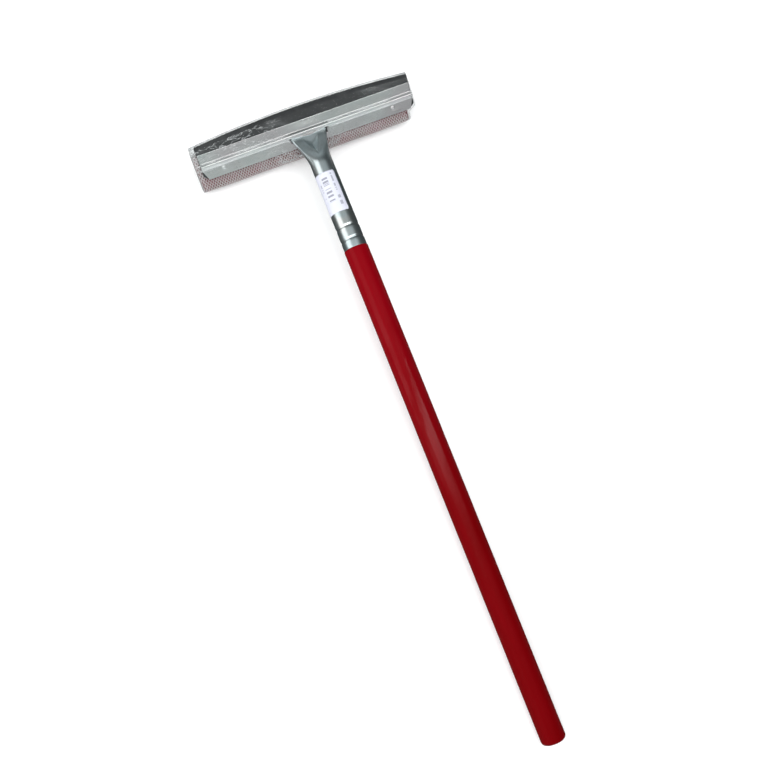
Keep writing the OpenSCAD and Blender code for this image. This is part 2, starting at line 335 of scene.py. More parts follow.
# ------------------------------------------------------------------ shader maths

Number = Union[float, "Wave"]


class Wave:
    """A number that changes over a surface, so that shader maths reads as plain expressions."""

    def __init__(self, graph: "Graph", socket: bpy.types.NodeSocket) -> None:
        """Wraps an output socket of a graph."""
        self.graph = graph
        self.socket = socket

    def _math(self, operation: str, *values: Number, clamp: bool = False) -> "Wave":
        """One Math node on these values."""
        return self.graph.add("ShaderNodeMath", {"operation": operation, "use_clamp": clamp},
                              dict(enumerate(values)))

    def __add__(self, other: Number) -> "Wave":
        """Sum."""
        return self._math("ADD", self, other)

    def __radd__(self, other: Number) -> "Wave":
        """Sum, the other way round."""
        return self._math("ADD", other, self)

    def __sub__(self, other: Number) -> "Wave":
        """Difference."""
        return self._math("SUBTRACT", self, other)

    def __rsub__(self, other: Number) -> "Wave":
        """Difference, the other way round."""
        return self._math("SUBTRACT", other, self)

    def __mul__(self, other: Number) -> "Wave":
        """Product."""
        return self._math("MULTIPLY", self, other)

    def __rmul__(self, other: Number) -> "Wave":
        """Product, the other way round."""
        return self._math("MULTIPLY", other, self)

    def __truediv__(self, other: Number) -> "Wave":
        """Quotient."""
        return self._math("DIVIDE", self, other)

    def __pow__(self, other: Number) -> "Wave":
        """Power."""
        return self._math("POWER", self, other)

    def above(self, level: Number) -> "Wave":
        """1 where the value is above a level, and 0 elsewhere."""
        return self._math("GREATER_THAN", self, level)

    def held(self) -> "Wave":
        """The value held between 0 and 1."""
        return self._math("ADD", self, 0.0, clamp=True)

    def floor(self) -> "Wave":
        """The whole part."""
        return self._math("FLOOR", self)

    def size(self) -> "Wave":
        """The value without its sign."""
        return self._math("ABSOLUTE", self)

    def ramp(self, low: float, high: float) -> "Wave":
        """A smooth step from 0 at low to 1 at high."""
        return self.graph.add("ShaderNodeMapRange", {"interpolation_type": "SMOOTHSTEP"},
                              {"Value": self, "From Min": low, "From Max": high})


Value = Union[float, Sequence[float], Wave, bpy.types.NodeSocket]


class Graph:
    """Adds nodes to one material or world tree."""

    def __init__(self, tree: bpy.types.NodeTree) -> None:
        """Starts from an empty tree."""
        self.tree = tree
        tree.nodes.clear()

    def add(self, kind: str, settings: Optional[dict] = None,
            inputs: Optional[dict] = None, output: Union[int, str] = 0) -> Wave:
        """Adds one node.

        Args:
            kind: The node's type.
            settings: Its own settings, set first. A ramp's stops are given as stops.
            inputs: Values or links, by socket name or number.
            output: The output that is wanted.

        Returns:
            That output, wrapped.
        """
        made = self.tree.nodes.new(kind)
        for name, value in (settings or {}).items():
            if name == "stops":
                self._set_stops(made.color_ramp, value)
            else:
                setattr(made, name, value)
        for name, value in (inputs or {}).items():
            self._feed(made.inputs[name], value)
        if not made.outputs:
            return Wave(self, None)
        return Wave(self, made.outputs[output])

    def _feed(self, socket: bpy.types.NodeSocket, value: Value) -> None:
        """Links or sets one input.

        Args:
            socket: The input.
            value: A wave to link, or a value to set.
        """
        if isinstance(value, Wave):
            self.tree.links.new(value.socket, socket)
        elif isinstance(value, bpy.types.NodeSocket):
            self.tree.links.new(value, socket)
        else:
            socket.default_value = value

    @staticmethod
    def _set_stops(ramp: bpy.types.ColorRamp, stops: Sequence[tuple[float, Sequence[float]]]) -> None:
        """Sets a ramp's stops, as (place, colour).

        Args:
            ramp: The ramp node.
            stops: Each stop's place and colour.
        """
        while len(ramp.elements) < len(stops):
            ramp.elements.new(0.5)
        for element, (place, colour) in zip(ramp.elements, stops):
            element.position = place
            element.color = colour

    def blend(self, share: Number, first: Value, second: Value) -> Wave:
        """A colour between two, by a share."""
        return self.add("ShaderNodeMix", {"data_type": "RGBA"},
                        {0: share, 6: first, 7: second}, output=2)

    def place(self, middle: Vector, tilt: float, scale: Sequence[float] = (1, 1, 1)) -> Wave:
        """Object coordinates turned to lie with the tool.

        Args:
            middle: The point that becomes the pattern's origin.
            tilt: The turn about X, in radians, of what the pattern lies on.
            scale: How much the pattern is packed along each axis.

        Returns:
            The coordinates, in metres along the tool's own axes.
        """
        coords = self.add("ShaderNodeTexCoord", output="Object")
        turned = self.add("ShaderNodeMapping", {"vector_type": "TEXTURE"},
                          {"Vector": coords, "Location": middle, "Rotation": (tilt, 0, 0)})
        return self.add("ShaderNodeMapping", None, {"Vector": turned, "Scale": scale})

    def grain(self, at: Wave, scale: float, detail: float = 2.0, rough: float = 0.5) -> Wave:
        """Cloudy noise from 0 to 1."""
        return self.add("ShaderNodeTexNoise", None,
                        {"Vector": at, "Scale": scale, "Detail": detail, "Roughness": rough})

    def relief(self, height: Wave, depth_mm: float, strength: float = 1.0) -> Wave:
        """A bump normal from a height of 0 to 1."""
        return self.add("ShaderNodeBump", None,
                        {"Height": height, "Distance": depth_mm * MM, "Strength": strength})

    def output(self, surface: Wave) -> None:
        """Ends the tree on a surface."""
        self.add("ShaderNodeOutputMaterial", None, {"Surface": surface})


class Finish:
    """A finish that makes its material once."""
    name = "finish"
    slot = ""

    def __init__(self, frames: ToolFrames) -> None:
        """Builds the material in the tool's frames.

        Args:
            frames: The tool's frames.
        """
        self.frames = frames
        self.material = bpy.data.materials.new(self.name)
        self.material.use_nodes = True
        graph = Graph(self.material.node_tree)
        graph.output(self.surface(graph))

    def surface(self, graph: Graph) -> Wave:
        """The finish's shader."""
        raise NotImplementedError

    @property
    def plate_tilt(self) -> float:
        """The plates' turn about X."""
        return self.frames.tilt + math.radians(ToolSizes().head_lean)


class ZincSteel(Finish):
    """Bright zinc on rolled sheet: streaks along the sheet, a blue-green cast and faint spangle."""
    name = "zinc_steel"
    slot = "zinc_steel"
    streak_scale = (18.0, 420.0, 420.0)
    bright = (0.64, 0.655, 0.635, 1)
    cast = (0.54, 0.575, 0.56, 1)
    stain = (0.30, 0.32, 0.31, 1)
    drift = (0.57, 0.525, 0.535, 1)
    roughness = 0.20

    def surface(self, graph: Graph) -> Wave:
        """Metal with streaks along X of the plates.

        Args:
            graph: The finish's nodes.

        Returns:
            The surface's output.
        """
        at = graph.place(self.frames.origin, self.plate_tilt)
        stretched = graph.place(self.frames.origin, self.plate_tilt, self.streak_scale)
        streaks = graph.grain(stretched, 1.0, 4.0, 0.6)
        clouds = graph.grain(at, 60.0, 3.0)
        spots = graph.grain(at, 420.0, 2.0)
        patches = graph.grain(at, 16.0, 1.0).ramp(0.42, 0.66) * 0.8
        spangle = graph.blend(clouds.ramp(0.35, 0.7), self.bright, self.cast)
        tint = graph.blend(patches, spangle, self.drift)
        colour = graph.blend((streaks.ramp(0.52, 0.8) * 0.35 + spots.ramp(0.62, 0.8) * 0.3).held(),
                             tint, self.stain)
        rough = self.roughness + streaks * 0.10 + clouds * 0.08
        height = graph.relief(streaks + spots * 0.3, 0.02, 0.6)
        return graph.add("ShaderNodeBsdfPrincipled", None, {
            "Base Color": colour, "Metallic": 1.0, "Roughness": rough, "Normal": height})


class ZincTube(ZincSteel):
    """The same zinc with its streaks along the ferrule."""
    name = "zinc_tube"
    streak_scale = (500.0, 26.0, 500.0)
    cast = (0.48, 0.58, 0.60, 1)
    drift = (0.56, 0.64, 0.66, 1)
    roughness = 0.22

    @property
    def plate_tilt(self) -> float:
        """The ferrule lies along the handle."""
        return self.frames.tilt


class RivetSteel(ZincSteel):
    """Zinc on a small pressed head."""
    name = "rivet_steel"
    slot = "rivet_steel"
    streak_scale = (300.0, 300.0, 300.0)
    bright = (0.60, 0.63, 0.62, 1)
    roughness = 0.44


class RedEnamel(Finish):
    """Gloss red enamel brushed on a turned dowel: faint long grain, runs and small nibs, with the red
    painted lighter towards the head end as painted light.
    """
    name = "red_enamel"
    slot = "red_enamel"
    # deep is the darkest red: painted shade towards the far end, and the red between the runs. The
    # lighter red is painted light towards the head end, and the red of the runs.
    deep = (0.125, 0.0, 0.0006, 1)
    lit_and_runs_red = (0.225, 0.0006, 0.005, 1)
    worn = (0.06, 0.004, 0.004, 1)

    def surface(self, graph: Graph) -> Wave:
        """A coated dielectric over grain that runs along the handle.

        Args:
            graph: The finish's nodes.

        Returns:
            The surface's output.
        """
        at = graph.place(self.frames.origin, self.frames.tilt)
        fibres = graph.place(self.frames.origin, self.frames.tilt, (700, 14, 700))
        grain = graph.grain(fibres, 1.0, 5.0, 0.6)
        runs = graph.grain(graph.place(self.frames.origin, self.frames.tilt, (120, 22, 120)), 1.0, 2.0)
        nibs = graph.grain(at, 900.0, 1.0).ramp(0.70, 0.78)
        along = graph.add("ShaderNodeSeparateXYZ", None, {0: at}, output="Y")
        # Painted light: near_head lightens the red towards the head end, standing in for how the light
        # falls there; it also raises the coat there.
        near_head = along.ramp(-0.40, -0.11)
        middle = along.ramp(-0.38, -0.27) * (1 - along.ramp(-0.24, -0.12)) * runs.ramp(0.3, 0.6)
        tint = graph.blend((near_head * 0.62 + runs * 0.35).held(), self.deep, self.lit_and_runs_red)
        colour = graph.blend(grain.ramp(0.62, 0.86) * 0.35, tint, self.worn)
        height = graph.relief(runs * 0.55 + grain * 0.12 + nibs * 0.3, 0.16, 0.8)
        return graph.add("ShaderNodeBsdfPrincipled", None, {
            "Base Color": colour, "Roughness": 0.34 + runs * 0.16, "Normal": height,
            "Coat Weight": 0.01 + near_head * 0.08 + middle * 0.14, "Coat Roughness": 0.07,
            "Specular IOR Level": 0.02})


class BlackRubber(Finish):
    """Matt sheet rubber with a grey bloom and fine scuffs."""
    name = "black_rubber"
    slot = "black_rubber"

    def surface(self, graph: Graph) -> Wave:
        """Dark, with dust that gathers in clouds.

        Args:
            graph: The finish's nodes.

        Returns:
            The surface's output.
        """
        at = graph.place(self.frames.origin, self.plate_tilt)
        long_at = graph.place(self.frames.origin, self.plate_tilt, (20, 300, 300))
        bloom = graph.grain(at, 90.0, 4.0, 0.6)
        scuffs = graph.grain(long_at, 1.0, 3.0)
        colour = graph.blend((bloom.ramp(0.4, 0.8) * 0.6 + scuffs.ramp(0.6, 0.8) * 0.4).held(),
                             (0.010, 0.011, 0.012, 1), (0.040, 0.043, 0.043, 1))
        height = graph.relief(graph.grain(at, 1800.0, 2.0) + scuffs * 0.5, 0.03, 0.7)
        return graph.add("ShaderNodeBsdfPrincipled", None, {
            "Base Color": colour, "Roughness": 0.48 + bloom * 0.2, "Normal": height,
            "Specular IOR Level": 0.4})


class RedFoam(Finish):
    """Open-cell foam: red, set darker as painted shade under the net, with the cells painted darker
    still as shade in their hollows.
    """
    name = "red_foam"
    slot = "red_sponge"

    def surface(self, graph: Graph) -> Wave:
        """Cells painted dark as shade in their hollows, in a paler web.

        Args:
            graph: The finish's nodes.

        Returns:
            The surface's output.
        """
        at = graph.place(self.frames.origin, self.plate_tilt)
        cells = graph.add("ShaderNodeTexVoronoi", {"feature": "DISTANCE_TO_EDGE"},
                          {"Vector": at, "Scale": 1100.0})
        large = graph.add("ShaderNodeTexVoronoi", None, {"Vector": at, "Scale": 420.0})
        pit_shade = cells.ramp(0.02, 0.22)
        # Painted shade: both reds are set dark for shade under the net, and the darker one fills the
        # cells' hollows.
        colour = graph.blend(pit_shade, (0.20, 0.014, 0.022, 1), (0.07, 0.003, 0.006, 1))
        tint = graph.blend(large.ramp(0.1, 0.6) * 0.5, colour, (0.15, 0.008, 0.014, 1))
        height = graph.relief(1 - pit_shade, 0.35)
        return graph.add("ShaderNodeBsdfPrincipled", None, {
            "Base Color": tint, "Roughness": 0.92, "Normal": height, "Specular IOR Level": 0.2})


class NetYarn(Finish):
    """Knitted nylon: off-white yarn that takes a pink cast from the foam."""
    name = "net_yarn"
    slot = "sponge_net"

    def surface(self, graph: Graph) -> Wave:
        """Fine twisted fibres across each strand.

        Args:
            graph: The finish's nodes.

        Returns:
            The surface's output.
        """
        at = graph.place(self.frames.origin, self.plate_tilt)
        uv = graph.add("ShaderNodeUVMap", {"uv_map": "yarn"})
        fibres = graph.add("ShaderNodeTexWave", {"bands_direction": "DIAGONAL"},
                           {"Vector": uv, "Scale": 2.6, "Distortion": 3.0, "Detail": 2.0})
        cast = graph.grain(at, 70.0, 3.0)
        tint = graph.blend(cast.ramp(0.35, 0.72), (0.40, 0.37, 0.36, 1), (0.41, 0.31, 0.32, 1))
        colour = graph.blend(fibres * 0.4, tint, (0.22, 0.13, 0.135, 1))
        height = graph.relief(fibres, 0.08, 0.8)
        return graph.add("ShaderNodeBsdfPrincipled", None, {
            "Base Color": colour, "Roughness": 0.62 + fibres * 0.12, "Normal": height,
            "Sheen Weight": 0.25})


class LabelPaper(Finish):
    """White thermal paper with a ladder of generic bars and two rows of grey dashes."""
    name = "label_paper"
    slot = "label_paper"
    paper = (0.66, 0.67, 0.76, 1)
    ink = (0.10, 0.10, 0.13, 1)

    def surface(self, graph: Graph) -> Wave:
        """Bars across the label's length, on its own UV map.

        Args:
            graph: The finish's nodes.

        Returns:
            The surface's output.
        """
        uv = graph.add("ShaderNodeUVMap", {"uv_map": "label"})
        u = graph.add("ShaderNodeSeparateXYZ", None, {0: uv}, output="X")
        v = graph.add("ShaderNodeSeparateXYZ", None, {0: uv}, output="Y")
        bars = self._bars(graph, v, 62.0) * self._window(u, 0.44, 0.66) * self._window(v, 0.13, 0.73)
        gap = 1 - self._window(v, 0.52, 0.56)
        dashes = (self._bars(graph, v, 40.0)
                  * self._window(u, 0.80, 0.86) * self._window(v, 0.06, 0.52)
                  + self._bars(graph, v + 0.37, 31.0)
                  * self._window(u, 0.78, 0.88) * self._window(v, 0.62, 0.93)
                  + self._bars(graph, v + 0.11, 36.0)
                  * self._window(u, 0.30, 0.35) * self._window(v, 0.2, 0.6))
        cover = (bars * gap * 0.66 + dashes * 0.5).held()
        at = graph.place(self.frames.origin, self.frames.tilt)
        fibre = graph.grain(at, 1400.0, 3.0)
        colour = graph.blend(cover, graph.blend(fibre, self.paper, (0.61, 0.62, 0.72, 1)), self.ink)
        return graph.add("ShaderNodeBsdfPrincipled", None, {
            "Base Color": colour, "Roughness": 0.42 + fibre * 0.1,
            "Normal": graph.relief(fibre, 0.02, 0.4)})

    @staticmethod
    def _window(value: Wave, low: float, high: float) -> Wave:
        """1 between two edges."""
        return value.above(low) * (1 - value.above(high))

    @staticmethod
    def _bars(graph: Graph, along: Wave, count: float) -> Wave:
        """Bars of uneven width, one chance in two in each step.

        Args:
            graph: The finish's nodes.
            along: Place along the bars' row.
            count: Steps in one unit of it.

        Returns:
            1 in a bar and 0 between.
        """
        step = (along * count).floor()
        chance = graph.add("ShaderNodeTexWhiteNoise", {"noise_dimensions": "1D"}, {"W": step},
                           output="Value")
        return chance.above(0.45)


class ClearFilm(Finish):
    """Thin clear wrapping film: see-through, milky and shiny at its creases and folds, and milky along
    the rib's edges as a painted highlight.
    """
    name = "clear_film"
    slot = "clear_film"

    def surface(self, graph: Graph) -> Wave:
        """Transparent film mixed with a glossy skin where it is creased or seen edge on.

        Args:
            graph: The finish's nodes.

        Returns:
            The surface's output.
        """
        at = graph.place(self.frames.origin, self.plate_tilt, (0.5, 1.0, 1.0))
        warp = graph.grain(at, 30.0, 2.0)
        fine = graph.grain(at, 160.0, 3.0, 0.6)
        ridge = (1 - (warp - 0.5).size() * 9.0).held() ** 3.0
        thread = ((1 - (fine - 0.5).size() * 14.0).held() ** 4.0
                  * graph.grain(at, 22.0, 1.0).ramp(0.5, 0.62))
        # The fold mark also carries painted highlight lines along the rib's edges.
        fold = graph.add("ShaderNodeAttribute", {"attribute_name": "fold"}, output="Fac")
        edge_on = graph.add("ShaderNodeLayerWeight", None, {"Blend": 0.35}, output="Facing")
        cover = (0.02 + edge_on ** 2.0 * 0.32 + fold * 0.40
                 + ridge * (fold * 0.3 + 0.10) + thread * 0.6).held()
        normal = graph.relief(ridge * 0.7 + thread * 0.4 + fine * 0.35, 0.55)
        skin = graph.add("ShaderNodeBsdfPrincipled", None, {
            "Base Color": (0.55, 0.57, 0.57, 1), "Roughness": 0.10, "Normal": normal,
            "Specular IOR Level": 0.9})
        clear = graph.add("ShaderNodeBsdfTransparent", None, {"Color": (0.97, 0.975, 0.975, 1)})
        return graph.add("ShaderNodeMixShader", None, {0: cover, 1: clear, 2: skin})


@dataclass
class Finishes:
    """Every finish of the tool."""
    frames: ToolFrames
    plate: Finish = field(init=False)
    tube: Finish = field(init=False)
    rivet: Finish = field(init=False)
    enamel: Finish = field(init=False)
    rubber: Finish = field(init=False)
    foam: Finish = field(init=False)
    yarn: Finish = field(init=False)
    paper: Finish = field(init=False)
    film: Finish = field(init=False)

    def __post_init__(self) -> None:
        """Makes the materials."""
        self.plate = ZincSteel(self.frames)
        self.tube = ZincTube(self.frames)
        self.rivet = RivetSteel(self.frames)
        self.enamel = RedEnamel(self.frames)
        self.rubber = BlackRubber(self.frames)
        self.foam = RedFoam(self.frames)
        self.yarn = NetYarn(self.frames)
        self.paper = LabelPaper(self.frames)
        self.film = ClearFilm(self.frames)


# ------------------------------------------------------------------ mesh work

class Shading(Enum):
    """How a piece's faces are shaded."""
    SMOOTH = 180.0
    CREASED = 32.0
    SOFT = 50.0


def merge(bm: bmesh.types.BMesh, distance: float) -> None:
    """Joins doubled vertices and turns the faces outwards."""
    bmesh.ops.remove_doubles(bm, verts=bm.verts, dist=distance)
    bmesh.ops.recalc_face_normals(bm, faces=bm.faces)


def face_away(bm: bmesh.types.BMesh, face: bmesh.types.BMFace, centre: Vector) -> None:
    """Turns every face over if this one faces a point that it should face away from."""
    if face.normal.dot(face.calc_center_median() - centre) < 0:
        bmesh.ops.reverse_faces(bm, faces=bm.faces)


def face_off_axis(bm: bmesh.types.BMesh) -> None:
    """Turns the faces of a sheet that is rolled round the Y axis away from that axis."""
    low = min(bm.faces, key=lambda f: f.calc_center_median().y)
    face_away(bm, low, Vector((0, low.calc_center_median().y, 0)))


def cut(bm: bmesh.types.BMesh, point: Sequence[float], normal: Sequence[float], trim: bool = True,
        near: float = 1e-4) -> None:
    """Cuts a mesh along a plane.

    Args:
        bm: The mesh.
        point, normal: The plane.
        trim: Whether what lies on the normal's side is taken off.
        near: How close to the plane a vertex counts as on it.
    """
    bmesh.ops.bisect_plane(bm, geom=bm.verts[:] + bm.edges[:] + bm.faces[:], dist=near,
                           plane_co=point, plane_no=normal, clear_outer=trim)


def grid_sheet(columns: int, rows: int, shape: Callable[[float, float], Vector],
               bm: Optional[bmesh.types.BMesh] = None) -> bmesh.types.BMesh:
    """A sheet of quads laid on a shape.

    Args:
        columns: Faces across.
        rows: Faces along.
        shape: Gives the place of a point from its two shares, 0 to 1.
        bm: A mesh to add the sheet to.

    Returns:
        The mesh, with a UV map named sheet that holds the two shares.
    """
    bm = bm or bmesh.new()
    known = set(bm.verts)
    bmesh.ops.create_grid(bm, x_segments=columns, y_segments=rows, size=0.5, calc_uvs=False)
    layer = bm.loops.layers.uv.get("sheet") or bm.loops.layers.uv.new("sheet")
    lit_and_runs_red = [v for v in bm.verts if v not in known]
    shares = {v: (clamp01(v.co.x + 0.5), clamp01(v.co.y + 0.5)) for v in lit_and_runs_red}
    for vert in lit_and_runs_red:
        for loop in vert.link_loops:
            loop[layer].uv = shares[vert]
        vert.co = shape(*shares[vert])
    return bm


def lathe(profile: Sequence[Vector], steps: int) -> bmesh.types.BMesh:
    """Turns a profile of (radius, y) about the Y axis.

    Args:
        profile: Its points, starting and ending on the axis.
        steps: Faces round.

    Returns:
        The closed mesh.
    """
    bm = bmesh.new()
    verts = [bm.verts.new((p.x, p.y, 0)) for p in profile]
    edges = [bm.edges.new(pair) for pair in zip(verts, verts[1:])]
    bmesh.ops.spin(bm, geom=verts + edges, cent=(0, 0, 0), axis=(0, 1, 0),
                   angle=math.tau, steps=steps, use_merge=True, use_duplicate=False)
    merge(bm, 1e-4)
    return bm


def piece(bm: bmesh.types.BMesh, name: str, finish: Finish, place: Matrix, node: Optional[str],
          shading: Shading = Shading.CREASED) -> bpy.types.Object:
    """Ends a mesh as a piece of the tool.

    Args:
        bm: The mesh, in the coordinates of place.
        name: The piece's name.
        finish: Its finish.
        place: The frame that it was built in.
        node: The node that it stands for, if any.
        shading: How its faces are shaded.

    Returns:
        The piece, riding on the tool's body.
    """
    bm.transform(place)
    mesh = bpy.data.meshes.new(name)
    bm.to_mesh(mesh)
    bm.free()
    mesh.materials.append(finish.material)
    mesh.shade_smooth()
    if shading is not Shading.SMOOTH:
        mesh.set_sharp_from_angle(angle=math.radians(shading.value))
    made = bpy.data.objects.new(name, mesh)
    bpy.context.scene.collection.objects.link(made)
    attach(made, BODY)
    if node:
        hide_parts(node)
    LOG.info("%s: %d faces, finish %s", name, len(mesh.polygons), finish.name)
    return made


def wall(made: bpy.types.Object, thickness_mm: float, offset: float) -> bpy.types.Object:
    """Gives a sheet its thickness.

    Args:
        made: The piece.
        thickness_mm: The wall.
        offset: -1 grows it against the normals, 1 along them.

    Returns:
        The piece.
    """
    solid = made.modifiers.new("wall", "SOLIDIFY")
    solid.thickness = thickness_mm * MM
    solid.offset = offset
    solid.use_even_offset = False
    return made


def soft_edges(made: bpy.types.Object, width_mm: float, segments: int = 2) -> bpy.types.Object:
    """Rounds the sharp edges of a piece.

    Args:
        made: The piece.
        width_mm: Width of the rounding.
        segments: Its steps.

    Returns:
        The same piece.
    """
    bevel = made.modifiers.new("soft_edges", "BEVEL")
    bevel.width = width_mm * MM
    bevel.segments = segments
    bevel.limit_method = "ANGLE"
    bevel.angle_limit = math.radians(40)
    bevel.harden_normals = False
    return made


# ------------------------------------------------------------------ handle

@dataclass
class Handle:
    """The painted dowel."""
    sizes: ToolSizes
    frames: ToolFrames
    tenon_len: float = 51.0
    tenon_gap: float = 0.08
    tip_edge: float = 1.0
    shoulder_edge: float = 0.8
    shoulder_mid: float = 0.22
    ring_every: float = 5.0
    sides: int = 96
    unevenness: float = 0.07
    sunk: float = 0.6
    broad: tuple[float, float, float] = (0.10, 0.03, 0.10)
    fine: tuple[float, float, float] = (0.25, 0.11, 0.25)

    def build(self, finishes: Finishes) -> list[bpy.types.Object]:
        """Turns the dowel and lays the paint's slight unevenness on it.

        Args:
            finishes: Every finish.

        Returns:
            The handle.
        """
        s = self.sizes
        r, end_r = s.handle_d / 2, s.handle_end_r
        edge, mid, tip_edge = self.shoulder_edge, self.shoulder_mid, self.tip_edge
        shoulder = -s.ferrule_len
        end = shoulder - s.handle_len
        rings = int((s.handle_len - end_r - 1) / self.ring_every)
        barrel = [Vector((r, mix(end + end_r, shoulder - edge, k / rings))) for k in range(1, rings)]
        tenon = s.ferrule_end_d / 2 - s.ferrule_t - self.tenon_gap - s.ring_depth
        tip = s.neck_r - s.ferrule_t - self.tenon_gap - s.ring_depth
        profile = ([Vector((0, end)), Vector(((r - end_r) * 0.5, end))]
                   + arc(r - end_r, end + end_r, end_r, -90, 0, 8) + barrel
                   + [Vector((r, shoulder - edge)), Vector((r - mid, shoulder - mid)),
                      Vector((r - edge, shoulder)), Vector((tenon, shoulder)),
                      Vector((tip, shoulder + self.tenon_len - tip_edge)),
                      Vector((tip - tip_edge, shoulder + self.tenon_len)),
                      Vector((0, shoulder + self.tenon_len))])
        bm = lathe(profile, self.sides)
        for vert in bm.verts:
            self._lay_paint(vert, shoulder)
        return [piece(bm, "painted_handle", finishes.enamel, self.frames.handle, "wood_handle",
                      Shading.SOFT)]

    def _lay_paint(self, vert: bmesh.types.BMVert, shoulder: float) -> None:
        """Moves one point in or out by the paint's unevenness, never past the wood's size.

        Args:
            vert: The point.
            shoulder: Where the handle's barrel ends.
        """
        out = Vector((vert.co.x, 0, vert.co.z))
        if out.length < 1 or vert.co.y > shoulder - self.shoulder_edge - 0.1:
            return
        wave = noise.noise(vert.co * Vector(self.broad))
        fine = noise.noise(vert.co * Vector(self.fine) + Vector((7, 0, 0)))
        low = (wave - self.sunk) * self.unevenness + (fine - self.sunk) * self.unevenness * 0.5
        vert.co += out.normalized() * low


# ------------------------------------------------------------------ ferrule

@dataclass
class Ferrule:
    """The rolled steel tube with its pressed mouth, two rolled rings and a seam behind."""
    sizes: ToolSizes
    frames: ToolFrames
    sides: int = 112
    rows: int = 250
    seam_gap: float = 0.5
    tab_len: float = 8.0
    ring_w: float = 0.95
    flare_share: float = 0.88
    flare_power: float = 1.6
    wall_slope: float = 0.80
    vee_blend: float = 0.5

    def tube_r(self, s: float) -> float:
        """Radius of the round tube at a distance from the slot."""
        z = self.sizes
        return mix(z.neck_r, z.ferrule_end_d / 2, (s - z.flare_len) / (z.ferrule_len - z.flare_len))

    def ring_cut(self, s: float) -> float:
        """Depth of the rolled rings there.

        Args:
            s: Distance along the ferrule from its mouth.

        Returns:
            The depth.
        """
        z = self.sizes
        deep = 0.0
        for centre in (z.ring_first, z.ring_first + z.ring_pitch):
            off = z.ferrule_len + z.mouth_y - s - centre
            deep += z.ring_depth * bump(off, self.ring_w)
        return deep

    def flare_half(self, s: float) -> float:
        """Half the flare's width.

        Args:
            s: Distance along the ferrule from its mouth.

        Returns:
            The half width.
        """
        z = self.sizes
        return mix(z.neck_r, z.mouth_w / 2,
                   clamp01(1 - s / (z.flare_len * self.flare_share)) ** self.flare_power)

    def flare_high(self, s: float) -> float:
        """The flare's height."""
        z = self.sizes
        return mix(z.blade_t - z.slip, 2 * z.neck_r, smooth(s / z.flare_len))

    def vee(self, x: float, s: float) -> float:
        """Depth of the pressed V at a point of the flare's front.

        Args:
            x: Distance across from the middle.
            s: Distance along from the mouth.

        Returns:
            The depth.
        """
        z = self.sizes
        half = z.vee_w / 2 * clamp01(1 - s / z.vee_len)
        inside = half - abs(x)
        if inside <= 0:
            return 0.0
        floor = self.flare_high(s) - z.blade_t
        sunk = self.wall_slope * inside * inside / (inside + self.vee_blend)
        return floor * sunk / (floor ** 3 + sunk ** 3 + 1e-9) ** (1 / 3)

    def flat_point(self, share: float) -> Vector:
        """A point of the flattened mouth's outline, by its share of the way round.

        Args:
            share: Share of the way round.

        Returns:
            The point, across and through.
        """
        half, r = self.sizes.mouth_w / 2, self.sizes.blade_t / 2
        side, turn = half - r, math.pi * r
        way = share * (4 * side + 2 * turn)
        if way < side:
            return Vector((way, -r))
        if way < side + turn:
            a = -math.pi / 2 + (way - side) / r
            return Vector((side + r * math.cos(a), r * math.sin(a)))
        if way < 3 * side + turn:
            return Vector((side - (way - side - turn), r))
        if way < 3 * side + 2 * turn:
            a = math.pi / 2 + (way - 3 * side - turn) / r
            return Vector((-side + r * math.cos(a), r * math.sin(a)))
        return Vector((-side + (way - 3 * side - 2 * turn), -r))

    def outline(self, share: float, s: float) -> Vector:
        """A point of the section at a distance from the slot.

        Args:
            share: The share of the way round, from the seam.
            s: The distance from the slot, negative inside the head.

        Returns:
            The point across and up, in millimetres.
        """
        z = self.sizes
        held = max(0.0, s)
        in_flare = held < z.flare_len
        half = self.flare_half(held) if in_flare else self.tube_r(held) - self.ring_cut(held)
        high = self.flare_high(held) / 2 if in_flare else half
        rounded = smooth(held / z.flare_len)
        flat = self.flat_point(share)
        turn = -math.pi / 2 + math.tau * share
        x = mix(flat.x / (z.mouth_w / 2), math.cos(turn), rounded) * half
        up = mix(flat.y / (z.blade_t / 2), math.sin(turn), rounded) * high
        if up > 0:
            up -= self.vee(x, held)
        return Vector((x, up))

    def spot(self, across: float, along: float) -> Vector:
        """A point of the wall from its two shares, round and along.

        Args:
            across: Share of the way round.
            along: Share of the way along.

        Returns:
            The point.
        """
        z = self.sizes
        seam = self.seam_gap / (math.tau * z.neck_r) / 2
        lean = math.radians(z.head_lean)
        bend = z.bend_r * lean
        run = mix(-(self.tab_len + bend), z.ferrule_len + z.mouth_y, along)
        p = self.outline(mix(seam, 1 - seam, across), run)
        if run < -bend:
            turn, ahead = lean, -bend - run
        elif run < 0:
            turn, ahead = -run / z.bend_r, 0.0
        else:
            middle = -z.neck_r + self.flare_high(run) / 2 if run < z.flare_len else 0.0
            return Vector((p.x, z.mouth_y - run, middle + p.y))
        y = z.mouth_y + z.bend_r * math.sin(turn) + ahead * math.cos(turn)
        up = z.mouth_line + z.bend_r * (1 - math.cos(turn)) + ahead * math.sin(turn)
        return Vector((p.x, y - p.y * math.sin(turn), up + p.y * math.cos(turn)))

    def build(self, finishes: Finishes) -> list[bpy.types.Object]:
        """Rolls the sheet round its sections and gives it its wall.

        Args:
            finishes: Every finish.

        Returns:
            The ferrule.
        """
        bm = grid_sheet(self.sides, self.rows, self.spot)
        bmesh.ops.recalc_face_normals(bm, faces=bm.faces)
        face_off_axis(bm)
        made = piece(bm, "ferrule_wall", finishes.tube, self.frames.handle, "ferrule", Shading.SOFT)
        return [wall(made, self.sizes.ferrule_t, -1.0)]


# ------------------------------------------------------------------ plates

